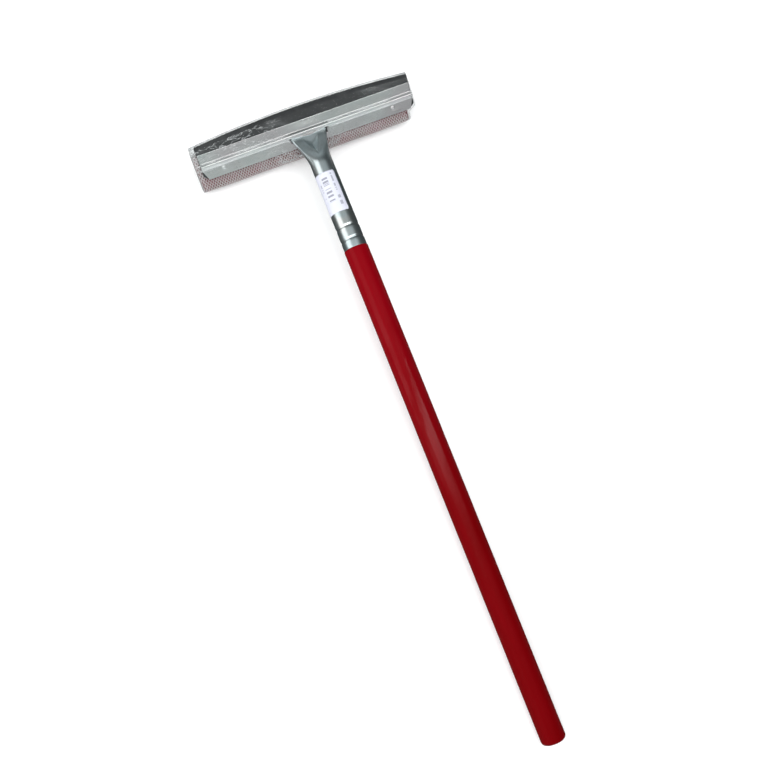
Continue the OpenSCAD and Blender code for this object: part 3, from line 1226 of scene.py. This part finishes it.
@dataclass
class Head:
    """The two clamp plates with their rivets."""
    sizes: ToolSizes
    frames: ToolFrames
    columns: int = 260
    bend_r: float = 1.05
    lance_over: float = 5.5
    lance_h: float = 0.9
    slot_gap: float = 0.25
    slot_top: float = 0.25
    slot_under: float = 3.2
    dimple: float = 0.28
    dimple_w: float = 3.4
    bow: float = 0.35
    dent: float = 0.45
    ripple: float = 0.05
    rivet_drop: float = 0.35
    rivet_high: float = 0.7
    rivet_r: float = 1.3
    rivet_edge: float = 0.1
    bevel: float = 0.15
    tongue_in: float = 1.0
    tongue_clear: float = 0.12
    tongue_least: float = 0.15
    tongue_most: float = 2.3
    tongue_root: float = 1.6

    def section(self) -> Path:
        """The front plate's middle line from its bottom edge to its top, as (up, forward).

        Returns:
            The middle line.
        """
        s = self.sizes
        slope, mid = s.rib_h / 4, s.plate_t / 2
        return Path.filleted([
            (s.plate_low, mid), (0.0, mid), (slope, s.rib_rise + mid),
            (s.rib_h - slope, s.rib_rise + mid), (s.rib_h, mid), (s.plate_top, mid)], self.bend_r)

    def rivet_spots(self) -> list[Vector]:
        """Where the rivets stand, across and up the plate.

        Returns:
            Both places.
        """
        s = self.sizes
        across = s.plate_len / 2 - s.rivet_inset
        return [Vector((side * across, -s.lower_flange_h * self.rivet_drop)) for side in (-1, 1)]

    def build(self, finishes: Finishes) -> list[bpy.types.Object]:
        """Builds the plates, the pressed tongue and the rivets."""
        return [self._front(finishes), self._rear(finishes), *self._rivets(finishes)]

    def _front(self, finishes: Finishes) -> bpy.types.Object:
        """The front plate: a bent sheet with its slot cut and its lower corners clipped.

        Args:
            finishes: Every finish.

        Returns:
            The plate.
        """
        s = self.sizes
        path = self.section()
        stops = sorted({mix(0, path.length, k / 64) for k in range(65)} | set(path.runs))
        half = s.plate_len / 2

        def lay(across: float, along: float) -> Vector:
            """A point of the bent sheet.

            Args:
                across: Share of the way across.
                along: Share of the way along.

            Returns:
                The point.
            """
            point, ahead = path.at(stops[round(along * (len(stops) - 1))])
            x = mix(-half, half, across)
            press = self._press(x, point.x)
            return Vector((x, point.x + ahead.x * press, point.y + ahead.y * press))

        bm = grid_sheet(self.columns, len(stops) - 1, lay)
        self._clip_corners(bm)
        self._cut_slot(bm)
        self._add_tongue(bm)
        made = piece(bm, "clamp_plate", finishes.plate, self.frames.plate, "front_plate", Shading.SOFT)
        wall(made, s.plate_t, 0.0)
        return soft_edges(made, 0.12)

    def _press(self, x: float, up: float) -> float:
        """How far the sheet is pushed out: dished at the rivets, bowed and dented by the mouth.

        Args:
            x: Place across the plate.
            up: Place up the plate.

        Returns:
            The push, positive forward.
        """
        push = -sum(self.dimple * bump((Vector((x, up)) - spot).length, self.dimple_w)
                    for spot in self.rivet_spots())
        push += self.bow * bump(x, 15.0) * bump(up - 6.0, 4.5)
        push -= self.dent * bump(x - 1.5, 4.5) * bump(up - 2.6, 1.8)
        return push + self.ripple * noise.noise(Vector((x * 0.045, up * 0.2, 3.0)))

    def _clip_corners(self, bm: bmesh.types.BMesh) -> None:
        """Clips both lower corners on a slant.

        Args:
            bm: The plate's mesh.
        """
        s = self.sizes
        for side in (-1, 1):
            a = Vector((side * s.plate_len / 2, -1.0, 0))
            b = Vector((side * (s.plate_len / 2 - s.corner_cut), s.plate_low, 0))
            along = (b - a).normalized()
            out = Vector((-along.y, along.x, 0)) * (1 if side * -along.y > 0 else -1)
            cut(bm, a, out, near=FINE)

    def _cut_slot(self, bm: bmesh.types.BMesh) -> None:
        """Cuts the slot that the mouth passes, with a narrow lance past each side of it.

        Args:
            bm: The plate's mesh.
        """
        s = self.sizes
        window, lance = s.mouth_w / 2 + self.slot_gap, s.mouth_w / 2 + self.lance_over
        window_low = s.bend_start[0] - self.slot_under
        top = self.slot_top
        for x in (-lance, -window, window, lance):
            cut(bm, (x, 0, 0), (1, 0, 0), trim=False)
        for y in (window_low, top - self.lance_h, top):
            cut(bm, (0, y, 0), (0, 1, 0), trim=False)
        gone = []
        for face in bm.faces:
            c = face.calc_center_median()
            in_window = abs(c.x) < window and window_low < c.y < top
            lance_low = top - self.lance_h * self._taper(c.x, window, lance)
            in_lance = abs(c.x) < lance and lance_low < c.y < top
            if in_window or in_lance:
                gone.append(face)
        bmesh.ops.delete(bm, geom=gone, context="FACES")

    @staticmethod
    def _taper(x: float, start: float, end: float) -> float:
        """The lance's share of its height, narrowing to its tip."""
        return 1.0 if abs(x) < start else 1 - 0.55 * (abs(x) - start) / (end - start)

    def _add_tongue(self, bm: bmesh.types.BMesh) -> None:
        """Adds the rib's lower edge where it is pressed down over the mouth as a shallow V.

        Args:
            bm: The plate's mesh.
        """
        s = self.sizes
        half = s.mouth_w / 2 - self.tongue_in
        lean = math.radians(s.head_lean)
        rise = s.blade_t / 2 + s.plate_t / 2 + self.tongue_clear
        start_y, start_z = s.bend_start

        def lay(across: float, along: float) -> Vector:
            """A point of the tongue, from the rib's flank down over the mouth.

            Args:
                across: Share of the way across.
                along: Share of the way along.

            Returns:
                The point.
            """
            x = mix(-half, half, across)
            reach = mix(self.tongue_least, self.tongue_most, (1 - abs(x) / half) ** 1.15)
            way = mix(-self.tongue_root, reach, along)
            y = 0.45 - way * math.cos(lean) * 0.93
            over_mouth = start_z + (start_y - y) * math.tan(lean) + rise / math.cos(lean)
            flank = s.plate_t / 2 + s.rib_rise * clamp01((y - 0.1) / (s.rib_h / 4))
            return Vector((x, y, max(over_mouth - 0.1, mix(over_mouth, flank, smooth(-way / 1.2)))))

        grid_sheet(60, 10, lay, bm)

    def _rear(self, finishes: Finishes) -> bpy.types.Object:
        """The flat backing plate inside the net.

        Args:
            finishes: Every finish.

        Returns:
            The plate.
        """
        s = self.sizes
        high, low = s.core_top, s.rear_low
        bm = bmesh.new()
        bmesh.ops.create_cube(bm, size=1.0)
        bmesh.ops.scale(bm, vec=(s.rear_len, high - low, s.plate_t), verts=bm.verts)
        bmesh.ops.translate(bm, vec=(0, (high + low) / 2, s.rear_back + s.plate_t / 2), verts=bm.verts)
        bmesh.ops.bevel(bm, geom=bm.edges[:], offset=self.bevel, segments=2, profile=0.5,
                        affect="EDGES", material=-1)
        return piece(bm, "backing_plate", finishes.plate, self.frames.plate, "rear_plate")

    def _rivets(self, finishes: Finishes) -> list[bpy.types.Object]:
        """Both rivets: a domed head in front, a shank and a flat head behind.

        Args:
            finishes: Every finish.

        Returns:
            Both rivets.
        """
        s = self.sizes
        r, high, shank, edge = s.rivet_head_d / 2, self.rivet_high, self.rivet_r, self.rivet_edge
        back = s.rear_back
        dome_r = (r * r + high * high) / (2 * high)
        span = math.degrees(math.asin(r / dome_r))
        dome = [Vector((p.x, p.y)) for p in
                arc(0, s.plate_t + high - dome_r, dome_r, 90, 90 - span, 10)]
        profile = dome + [Vector((shank, s.plate_t)), Vector((shank, back)), Vector((r - edge, back)),
                          Vector((r, back - edge)), Vector((r, back - high + edge)),
                          Vector((r - edge, back - high)), Vector((0, back - high))]
        made = []
        for name, spot in zip(("left", "right"), self.rivet_spots()):
            bm = lathe(profile, 32)
            bmesh.ops.rotate(bm, verts=bm.verts, matrix=Matrix.Rotation(math.radians(90), 3, "X"))
            bmesh.ops.translate(bm, verts=bm.verts, vec=(spot.x, spot.y, -self.dimple * 0.8))
            made.append(piece(bm, f"rivet_{name}_dressed", finishes.rivet, self.frames.plate,
                              f"rivet_{name}"))
        return made


# ------------------------------------------------------------------ blade

@dataclass
class Blade:
    """The rubber strip with its crowned wiping edge."""
    sizes: ToolSizes
    frames: ToolFrames
    columns: int = 240
    rows: int = 26
    corner: float = 2.2
    worn: float = 1.1
    worn_slant: float = 0.8
    hidden: float = 1.6
    notch_gap: float = 0.25
    notch_under: float = 1.35
    sway: float = 0.25

    def build(self, finishes: Finishes) -> list[bpy.types.Object]:
        """Lays the strip, cuts its lower corners and its notch, and thickens it.

        Args:
            finishes: Every finish.

        Returns:
            The rubber.
        """
        s = self.sizes
        half = s.blade_len / 2
        bow_r = (half * half + s.blade_crown ** 2) / (2 * s.blade_crown)
        low, top = s.plate_low + self.hidden, s.plate_top + s.blade_reach

        def lay(across: float, along: float) -> Vector:
            """A point of the strip's middle, which sways a little above the clamp.

            Args:
                across: Share of the way across.
                along: Share of the way along.

            Returns:
                The point.
            """
            x = mix(-half, half, across)
            edge = top - bow_r + math.sqrt(bow_r ** 2 - x * x)
            y = mix(low, edge, along)
            free = clamp01((y - s.plate_top) / s.blade_reach)
            sway = self.sway * free * noise.noise(Vector((x * 0.03, 1.5, 0.0)))
            return Vector((x, y, -s.blade_t / 2 + sway))

        bm = grid_sheet(self.columns, self.rows, lay)
        for side in (-1, 1):
            cut(bm, (side * (half - self.corner), low, 0), (side, -1, 0), near=FINE)
            cut(bm, (side * half, top - s.blade_crown - self.worn, 0), (side, self.worn_slant, 0),
                near=FINE)
        notch, notch_top = s.mouth_w / 2 + self.notch_gap, s.plate_top - self.notch_under
        gone = [f for f in bm.faces if abs(f.calc_center_median().x) < notch
                and f.calc_center_median().y < notch_top]
        bmesh.ops.delete(bm, geom=gone, context="FACES")
        made = piece(bm, "blade_rubber", finishes.rubber, self.frames.plate, "rubber_blade",
                     Shading.SOFT)
        wall(made, s.blade_t - 0.02, 0.0)
        return [soft_edges(made, 0.25, 3)]


# ------------------------------------------------------------------ sponge and net

@dataclass
class Sponge:
    """The foam block and the knitted net drawn over it."""
    sizes: ToolSizes
    frames: ToolFrames
    cuts: int = 58
    fold_r: float = 0.7
    pore_depth: float = 0.55
    bulge: float = 0.35
    pitch_across: float = 2.45
    row_pitch: float = 1.95
    strand_share: float = 0.24
    ridge: float = 0.22

    def low_high(self) -> tuple[Vector, Vector]:
        """The foam's section, lowest and highest corners."""
        s = self.sizes
        return (Vector((s.core_low, s.core_back)), Vector((s.core_top, s.rear_back)))

    def round_in(self, point: Vector, grow: float = 0.0) -> Vector:
        """Rounds the long edges of the section.

        Args:
            point: A point of the square section.
            grow: How far the section has grown.

        Returns:
            The point, drawn in to the rounded corner.
        """
        low, high = self.low_high()
        r = self.sizes.sponge_edge_r
        inner_low, inner_high = low + Vector((r, r)), high - Vector((r, r))
        held = Vector((min(max(point.x, inner_low.x), inner_high.x),
                       min(max(point.y, inner_low.y), inner_high.y)))
        away = point - held
        limit = r + grow
        return held + away * min(1.0, limit / away.length) if away.length > limit else point

    def fill_front(self, point: Vector) -> Vector:
        """Brings the part below the backing plate forward to meet the net.

        Args:
            point: A point of the block.

        Returns:
            The point, brought forward.
        """
        s = self.sizes
        low, high = self.low_high()
        below = smooth((s.plate_low + 0.4 - point.x) / 1.2)
        near = clamp01((point.y - low.y) / (high.y - low.y)) ** 3
        return point + Vector((0, s.plate_t * below * near))

    def build(self, finishes: Finishes) -> list[bpy.types.Object]:
        """Builds the foam and the net.

        Args:
            finishes: Every finish.

        Returns:
            The foam and the net.
        """
        foam = self._foam(finishes)
        net, area = self._net(finishes)
        return [foam, net]

    def _foam(self, finishes: Finishes) -> bpy.types.Object:
        """A block with rounded long edges and open cells at its ends.

        Args:
            finishes: Every finish.

        Returns:
            The block.
        """
        s = self.sizes
        low, high = self.low_high()
        bm = bmesh.new()
        bmesh.ops.create_cube(bm, size=1.0)
        bmesh.ops.subdivide_edges(bm, edges=bm.edges[:], cuts=self.cuts, use_grid_fill=True)
        middle, size = (low + high) / 2, high - low
        for vert in bm.verts:
            side = vert.co.x
            flat = self.round_in(Vector((middle.x + vert.co.y * size.x, middle.y + vert.co.z * size.y)))
            point = self.fill_front(flat)
            x = side * (s.sponge_len - 0.6)
            at_end = abs(side) > 0.4999
            cell = noise.noise(Vector((x * 0.9, point.x * 1.15, point.y * 1.15)))
            fine = noise.noise(Vector((x * 2.0, point.x * 2.6, point.y * 2.6)))
            pit = self.pore_depth * max(0.0, cell) + self.pore_depth * 0.6 * max(0.0, fine)
            if at_end:
                rim = min((point - low).x, (high - point).x, (point - low).y, (high - point).y)
                x -= math.copysign(pit + 0.9 * bump(max(rim, 0), 1.2), side)
            vert.co = Vector((x - s.sponge_shift, point.x, point.y))
        bmesh.ops.recalc_face_normals(bm, faces=bm.faces)
        return piece(bm, "foam_block", finishes.foam, self.frames.plate, "sponge_core", Shading.SMOOTH)

    def loop(self) -> Path:
        """The net's way round the sponge and its backing plate, from the back's middle.

        Returns:
            The closed way round.
        """
        s = self.sizes
        low, high = self.low_high()
        net = s.net_t / 2 + 0.02
        top, bottom, back = high.x + net, low.x - net, low.y - net
        front = -s.blade_t - net
        r, middle = s.sponge_edge_r, (top + bottom) / 2
        fold = self.fold_r
        corners = (arc(top - r, back + r, r, -90, 0, 10)
                   + arc(top - fold, front - fold, fold, 0, 90, 5)
                   + arc(bottom + r, front - r, r, 90, 180, 10)
                   + arc(bottom + r, back + r, r, 180, 270, 10))
        return Path([Vector((middle, back))] + corners, closed=True)

    def _net(self, finishes: Finishes) -> tuple[bpy.types.Object, float]:
        """A knitted sock: staggered openings, each strand with a raised ridge.

        Args:
            finishes: Every finish.

        Returns:
            The piece and the area of its strands in square metres.
        """
        s = self.sizes
        path = self.loop()
        rows_round = 2 * round(path.length / (2 * self.row_pitch))
        count = round(s.sponge_len / self.pitch_across)
        bm = self._lattice(count, rows_round)
        step_v, step_u = path.length / rows_round, s.sponge_len / count
        bmesh.ops.inset_individual(bm, faces=bm.faces, thickness=self.strand_share * 0.5, depth=0.0,
                                   use_even_offset=True)
        bm.faces.ensure_lookup_table()
        holes = [f for f in bm.faces if self._is_opening(f)]
        openings = {v for f in holes for v in f.verts}
        layer = bm.loops.layers.uv.new("yarn")
        for face in bm.faces:
            for loop in face.loops:
                loop[layer].uv = (loop.vert.co.x, loop.vert.co.y)
        bmesh.ops.delete(bm, geom=holes, context="FACES")
        for vert in bm.verts:
            u, v = vert.co.x * step_u, vert.co.y * step_v
            point, ahead = path.at(v)
            raised = 0.0 if vert in openings else self.ridge
            x = u - s.sponge_len / 2
            from_end = s.sponge_len / 2 - abs(x)
            puff = self.bulge * (0.4 + noise.noise(Vector((x * 0.05, point.x * 0.09, point.y * 0.09))))
            hem = 1.5 * smooth(1 - from_end / 4.0)
            flat = 1.0 if point.y > -s.blade_t - 2 else 0.0
            push = raised + puff * (1 - flat) * 0.8 - hem
            vert.co = Vector((x - s.sponge_shift, point.x - ahead.x * push, point.y - ahead.y * push))
        merge(bm, 1e-3)
        middle = sum((v.co for v in bm.verts), Vector()) / len(bm.verts)
        face_away(bm, min(bm.faces, key=lambda f: f.calc_center_median().z), middle)
        area = sum(f.calc_area() for f in bm.faces) * MM * MM
        made = piece(bm, "knitted_net", finishes.yarn, self.frames.plate, "sponge_net", Shading.SMOOTH)
        return wall(made, 0.30, -1.0), area

    @staticmethod
    def _lattice(across: int, around: int) -> bmesh.types.BMesh:
        """Diamonds of two units by two, trimmed to a rectangle of across by around units.

        Args:
            across: Units across.
            around: Units around.

        Returns:
            The flat lattice.
        """
        bm = bmesh.new()
        reach = across + around
        bmesh.ops.create_grid(bm, x_segments=reach, y_segments=reach, size=reach / 2)
        bmesh.ops.rotate(bm, verts=bm.verts, matrix=Matrix.Rotation(math.radians(45), 3, "Z"))
        bmesh.ops.scale(bm, verts=bm.verts, vec=(1 / math.sqrt(2), math.sqrt(2), 1))
        bmesh.ops.translate(bm, verts=bm.verts, vec=(across / 2, around / 2, 0))
        for point, normal in (((0, 0, 0), (-1, 0, 0)), ((across, 0, 0), (1, 0, 0)),
                              ((0, 0, 0), (0, -1, 0)), ((0, around, 0), (0, 1, 0))):
            cut(bm, point, normal)
        return bm

    @staticmethod
    def _is_opening(face: bmesh.types.BMFace) -> bool:
        """Whether a face is the middle that an inset left, and not one of its strands."""
        return all(len(e.link_faces) == 2 for e in face.edges) and all(
            len(v.link_edges) == 3 for v in face.verts)


# ------------------------------------------------------------------ label

@dataclass
class Label:
    """The price label round the ferrule."""
    sizes: ToolSizes
    frames: ToolFrames
    ferrule: Ferrule
    lift: float = 0.06
    thickness: float = 0.12

    def build(self, finishes: Finishes) -> list[bpy.types.Object]:
        """Bends the paper round the tube, with one corner starting to lift.

        Args:
            finishes: Every finish.

        Returns:
            The label.
        """
        s = self.sizes
        radius = self.ferrule.tube_r(s.label_gap + s.label_len / 2)
        span = s.label_w / radius
        turn = math.radians(90 + s.label_turn)

        def lay(across: float, along: float) -> Vector:
            """A point of the label, across from right to left and along away from the head.

            Args:
                across: Share of the way across.
                along: Share of the way along.

            Returns:
                The point.
            """
            run = s.label_gap + along * s.label_len
            a = turn - span / 2 + across * span
            corner = clamp01((0.16 - across) / 0.16) * clamp01((along - 0.84) / 0.16)
            ripple = 0.05 * noise.noise(Vector((across * 3, along * 4, 0)))
            r = self.ferrule.tube_r(run) + self.lift + self.thickness + ripple + corner * 0.35
            return Vector((r * math.cos(a), s.mouth_y - run, r * math.sin(a)))

        bm = grid_sheet(40, 48, lay)
        layer, shares = bm.loops.layers.uv.new("label"), bm.loops.layers.uv["sheet"]
        for face in bm.faces:
            for loop in face.loops:
                share = loop[shares].uv
                loop[layer].uv = (1 - share.x, share.y)
        self._clip_corners(bm)
        bmesh.ops.recalc_face_normals(bm, faces=bm.faces)
        face_off_axis(bm)
        made = piece(bm, "paper_label", finishes.paper, self.frames.handle, "price_label",
                     Shading.SMOOTH)
        return [wall(made, self.thickness, -1.0)]

    @staticmethod
    def _clip_corners(bm: bmesh.types.BMesh) -> None:
        """Takes the very corners off, as die-cut labels have them.

        Args:
            bm: The label's mesh.
        """
        shares = bm.loops.layers.uv["sheet"]
        gone = [f for f in bm.faces if all(
            abs(c.uv.x - 0.5) > 0.47 and abs(c.uv.y - 0.5) > 0.475
            for c in (loop[shares] for loop in f.loops))]
        bmesh.ops.delete(bm, geom=gone, context="FACES")


# ------------------------------------------------------------------ film

@dataclass
class Film:
    """The clear wrapping film round the head, drawn up and creased."""
    sizes: ToolSizes
    frames: ToolFrames
    columns: int = 230
    rows: int = 190
    slack: float = 0.30
    ease: float = 1.15
    edge_half: float = 0.5
    tuck: float = 1.5
    hole_over: float = 1.4
    hole_low: float = -9.2
    hole_high: float = 1.2
    end_over: float = 0.9
    end_pull: float = 0.4
    pleat: float = 0.12
    end_mark: float = 0.45
    back_mark: float = 0.35
    mouth_mark: float = 0.5
    low_mark: float = 0.10
    cap_steps: int = 7

    def loop(self) -> Path:
        """The film's way round the head, from the top edge down the front.

        Returns:
            The closed way round.
        """
        s = self.sizes
        out = s.film_gap
        top = s.plate_top + s.blade_reach + s.film_top / 2
        rib = s.rib_rise + s.plate_t + out
        back, low = s.core_back - s.net_t - out, s.core_low - s.net_t - out
        front_low = -s.blade_t + out
        edge = self.edge_half
        corners = [(top + out, -s.blade_t / 2 + edge), (s.rib_h * 0.8, rib), (s.rib_h * 0.1, rib),
                   (s.plate_low - edge, s.plate_t + out), (low, front_low - self.tuck), (low, back),
                   (s.core_top + out, back), (top + out, -s.blade_t / 2 - edge)]
        return Path.filleted(corners, (s.sponge_edge_r + s.net_t + out) * self.ease, 7, closed=True)

    def crease(self, x: float, v: float, point: Vector) -> float:
        """How far the film stands in or out, from -1 to 1.

        Args:
            x: Place across the head.
            v: Distance round the head.
            point: The same place as a point.

        Returns:
            The share of the film's slack.
        """
        s = self.sizes
        broad = noise.noise(Vector((x * 0.035, v * 0.06, 2.0)))
        slant = noise.noise(Vector(((x + v * 1.4) * 0.11, (v - x * 0.4) * 0.045, 5.0)))
        sharp = 1 - abs(noise.noise(Vector(((x - v) * 0.16, (v + x) * 0.05, 9.0)))) * 3.0
        near_mouth = bump(abs(x) - s.mouth_w / 2, 12.0) * bump(point.x + 2, 14.0)
        gather = near_mouth * math.sin(math.atan2(point.x + 4, abs(x)) * 22.0) * 0.8
        return 0.35 * broad + 0.45 * slant + 0.5 * max(0.0, sharp) ** 3 + gather

    def build(self, finishes: Finishes) -> list[bpy.types.Object]:
        """Wraps the film, gathers it at both ends and opens it for the ferrule.

        Args:
            finishes: Every finish.

        Returns:
            The film.
        """
        s = self.sizes
        path = self.loop()
        half = s.blade_len / 2 + s.film_gap
        left = s.sponge_len / 2 + s.sponge_shift + s.film_gap
        right = s.sponge_len / 2 - s.sponge_shift + self.end_over

        def lay(across: float, along: float) -> Vector:
            """A point of the wrapped film.

            Args:
                across: Share of the way across.
                along: Share of the way along.

            Returns:
                The point.
            """
            point, ahead = path.at(along * path.length * 0.999999)
            reach = mix(right, half, smooth((point.x - s.plate_low + 3) / 5))
            x = mix(-left, reach, across)
            sunk = s.blade_crown * (x / half) ** 2 * smooth((point.x - s.plate_top + 2) / s.blade_reach)
            point = point - Vector((sunk, 0))
            push = max(-s.film_t, self.slack * (self.crease(x, along * path.length, point) - 0.3))
            push += self.end_pull * smooth(1 - min(reach - x, x + left))
            return Vector((x, point.x + ahead.x * push, point.y + ahead.y * push))

        bm = grid_sheet(self.columns, self.rows, lay)
        merge(bm, 1e-3)
        self._open_for_ferrule(bm)
        self._close_ends(bm)
        bmesh.ops.recalc_face_normals(bm, faces=bm.faces)
        made = piece(bm, "wrapping_film", finishes.film, self.frames.plate, "film_sleeve",
                     Shading.SMOOTH)
        self._mark_folds_and_rib_highlights(made)
        return [made]

    def _open_for_ferrule(self, bm: bmesh.types.BMesh) -> None:
        """Opens the film where the ferrule enters the head.

        Args:
            bm: The film's mesh.
        """
        s = self.sizes
        width = s.mouth_w / 2 + self.hole_over
        gone = [f for f in bm.faces if abs(f.calc_center_median().x) < width
                and self.hole_low < f.calc_center_median().y < self.hole_high
                and f.calc_center_median().z > -1]
        bmesh.ops.delete(bm, geom=gone, context="FACES")

    def _close_ends(self, bm: bmesh.types.BMesh) -> None:
        """Folds the film in over both ends of the head.

        Args:
            bm: The film's mesh.
        """
        s = self.sizes
        middle = Vector((0, (s.plate_top + s.core_low) / 2, s.core_back / 2))
        for side in (-1, 1):
            rim = [e for e in bm.edges if e.is_boundary
                   and all(side * v.co.x > s.plate_len * 0.45 for v in e.verts)]
            for step in range(self.cap_steps):
                grown = bmesh.ops.extrude_edge_only(bm, edges=rim)["geom"]
                verts = [g for g in grown if isinstance(g, bmesh.types.BMVert)]
                rim = [g for g in grown if isinstance(g, bmesh.types.BMEdge)
                       and all(v in set(verts) for v in g.verts)]
                left = 1 - 1 / (self.cap_steps - step + 0.6)
                for vert in verts:
                    centre = Vector((vert.co.x, middle.y, middle.z))
                    vert.co = centre + (vert.co - centre) * left
                    pleat = noise.noise(Vector((vert.co.y * 0.5, vert.co.z * 0.5, side * 4.0)))
                    vert.co.x += side * self.pleat * pleat
            bmesh.ops.holes_fill(bm, edges=rim, sides=0)

    def _mark_folds_and_rib_highlights(self, made: bpy.types.Object) -> None:
        """Marks where the film is doubled or gathered, and paints highlight lines along the rib's
        edges, for its finish to read.

        Args:
            made: The film.
        """
        s = self.sizes
        mesh = made.data
        marks = mesh.attributes.new("fold", "FLOAT", "POINT")
        back = self.frames.plate.inverted()
        top = s.plate_top + s.blade_reach
        values = []
        for vert in mesh.vertices:
            p = back @ vert.co
            at_top = smooth((p.y - top + 0.6 + s.blade_crown * (2 * p.x / s.blade_len) ** 2) / 1.2)
            at_end = self.end_mark * smooth((abs(p.x) - s.blade_len / 2 + 0.3) / 1.2)
            at_back = self.back_mark * smooth((-p.z - 18) / 8)
            near_mouth = self.mouth_mark * bump(p.x, 16.0) * bump(p.y + 3, 6.0) if p.z > 0 else 0.0
            below = self.low_mark * smooth((s.plate_low - p.y) / 2) * (1.0 if p.z > -8 else 0.5)
            # Painted highlight: milky lines along the rib's upper and lower edges, broader towards the
            # left end, stand in for the rib's bright bends.
            wider = mix(0.6, 1.5, smooth((-p.x - 70) / 25))
            rib_highlight = max(bump(p.y - s.rib_h, 0.6), bump(p.y - 0.2, wider))
            rib_highlight *= 1.0 if p.z > 0 and abs(p.x) > s.mouth_w / 2 + 2 else 0.0
            values.append(clamp01(max(at_top, at_end, at_back, near_mouth, below, rib_highlight)))
        marks.data.foreach_set("value", values)


# ------------------------------------------------------------------ stage

@dataclass
class Stage:
    """The pale floor, the soft lights and the camera."""
    aim: tuple[float, float, float] = (-0.01805, 0.03675, 0.02)
    azimuth: float = 41.642
    elevation: float = 79.834
    roll: float = 19.909
    distance: float = 0.860
    view_angle: float = 43.053

    def build(self) -> None:
        """Sets the camera, the floor and the lights."""
        self._camera()
        self._floor()
        self._world()
        self._softbox("key", Vector((-1.05, 0.1, 0.75)), (2.4, 1.08), 13.5)
        self._softbox("strip", Vector((0.0, -0.16, 1.46)), (2.2, 0.42), 13.0)
        fill = self._softbox("fill", Vector((0.2, 0.1, 1.7)), (1.8, 1.8), 17.0)
        fill.visible_glossy = False

    def _camera(self) -> None:
        """A camera that looks down on the tool, turned as a hand would hold it."""
        az, el, roll = (math.radians(a) for a in (self.azimuth, self.elevation, self.roll))
        look = Vector((math.sin(az) * math.cos(el), math.cos(az) * math.cos(el), -math.sin(el)))
        right = Vector((math.cos(az), -math.sin(az), 0))
        up = right.cross(look)
        across = right * math.cos(roll) + up * math.sin(roll)
        above = up * math.cos(roll) - right * math.sin(roll)
        data = bpy.data.cameras.new("view")
        data.sensor_fit = "HORIZONTAL"
        data.angle = math.radians(self.view_angle)
        data.clip_start, data.clip_end = 0.05, 20.0
        camera = bpy.data.objects.new("view", data)
        turn = Matrix((across, above, -look)).transposed().to_4x4()
        camera.matrix_world = Matrix.Translation(Vector(self.aim) - look * self.distance) @ turn
        bpy.context.scene.collection.objects.link(camera)
        bpy.context.scene.camera = camera

    @staticmethod
    def _floor() -> None:
        """A wide pale floor."""
        bm = bmesh.new()
        bmesh.ops.create_grid(bm, x_segments=1, y_segments=1, size=4.0)
        mesh = bpy.data.meshes.new("floor")
        bm.to_mesh(mesh)
        bm.free()
        material = bpy.data.materials.new("pale_floor")
        material.use_nodes = True
        graph = Graph(material.node_tree)
        at = graph.add("ShaderNodeTexCoord", output="Object")
        shade = graph.blend(graph.grain(at, 3.0), (0.90, 0.90, 0.90, 1), (0.92, 0.92, 0.92, 1))
        graph.output(graph.add("ShaderNodeBsdfPrincipled", None, {
            "Base Color": shade, "Roughness": 0.9, "Emission Color": (1, 1, 1, 1),
            "Emission Strength": 0.12}))
        mesh.materials.append(material)
        floor = bpy.data.objects.new("floor", mesh)
        bpy.context.scene.collection.objects.link(floor)
        floor.visible_glossy = False

    @staticmethod
    def _world() -> None:
        """A studio room: grey overhead and beyond the head, bright behind the handle's end."""
        world = bpy.data.worlds.new("studio")
        world.use_nodes = True
        bpy.context.scene.world = world
        graph = Graph(world.node_tree)
        at = graph.add("ShaderNodeTexCoord", output="Generated")
        x, y, z = (graph.add("ShaderNodeSeparateXYZ", None, {0: at}, output=axis) for axis in "XYZ")
        near = (0.0 - y).ramp(0.35, 0.95) * 0.46 + (0.0 - y).ramp(0.78, 0.97) * 1.1
        far = y.ramp(0.7, 0.99) * 0.4
        left = (0.0 - x).ramp(0.55, 1.0) * 0.06
        level = 0.07 + z.ramp(0.55, 1.0) * 0.30 + near + far + left
        tint = graph.add("ShaderNodeCombineXYZ", None,
                         {"X": level * 0.93, "Y": level, "Z": level * 1.02})
        sky = graph.add("ShaderNodeBackground", None, {"Color": tint, "Strength": 1.0})
        graph.add("ShaderNodeOutputWorld", None, {"Surface": sky})

    def _softbox(self, name: str, place: Vector, size: tuple[float, float],
                 power: float) -> bpy.types.Object:
        """One soft light that faces the middle of the tool.

        Args:
            name: The light's name.
            place: Where it stands, in metres.
            size: Its width and height, in metres.
            power: Its power, in watts.

        Returns:
            The light.
        """
        data = bpy.data.lights.new(name, "AREA")
        data.shape = "RECTANGLE"
        data.size, data.size_y = size
        data.energy = power
        light = bpy.data.objects.new(name, data)
        light.location = place
        light.rotation_euler = (Vector(self.aim) - place).to_track_quat("-Z", "Y").to_euler()
        bpy.context.scene.collection.objects.link(light)
        return light


# ------------------------------------------------------------------ the tool

def main() -> None:
    """Builds the stage and every piece of the tool."""
    logging.basicConfig(level=logging.INFO, format="%(name)s: %(message)s")
    sizes = ToolSizes()
    frames = ToolFrames(frame["record"], sizes)
    bpy.context.scene.view_settings.view_transform = "Standard"
    Stage().build()
    finishes = Finishes(frames)
    ferrule = Ferrule(sizes, frames)
    made: list[bpy.types.Object] = []
    for part in (Handle(sizes, frames), ferrule, Head(sizes, frames), Blade(sizes, frames),
                 Sponge(sizes, frames), Label(sizes, frames, ferrule), Film(sizes, frames)):
        made += part.build(finishes)
    LOG.info("%d pieces", len(made))


if __name__ == "__main__":
    main()
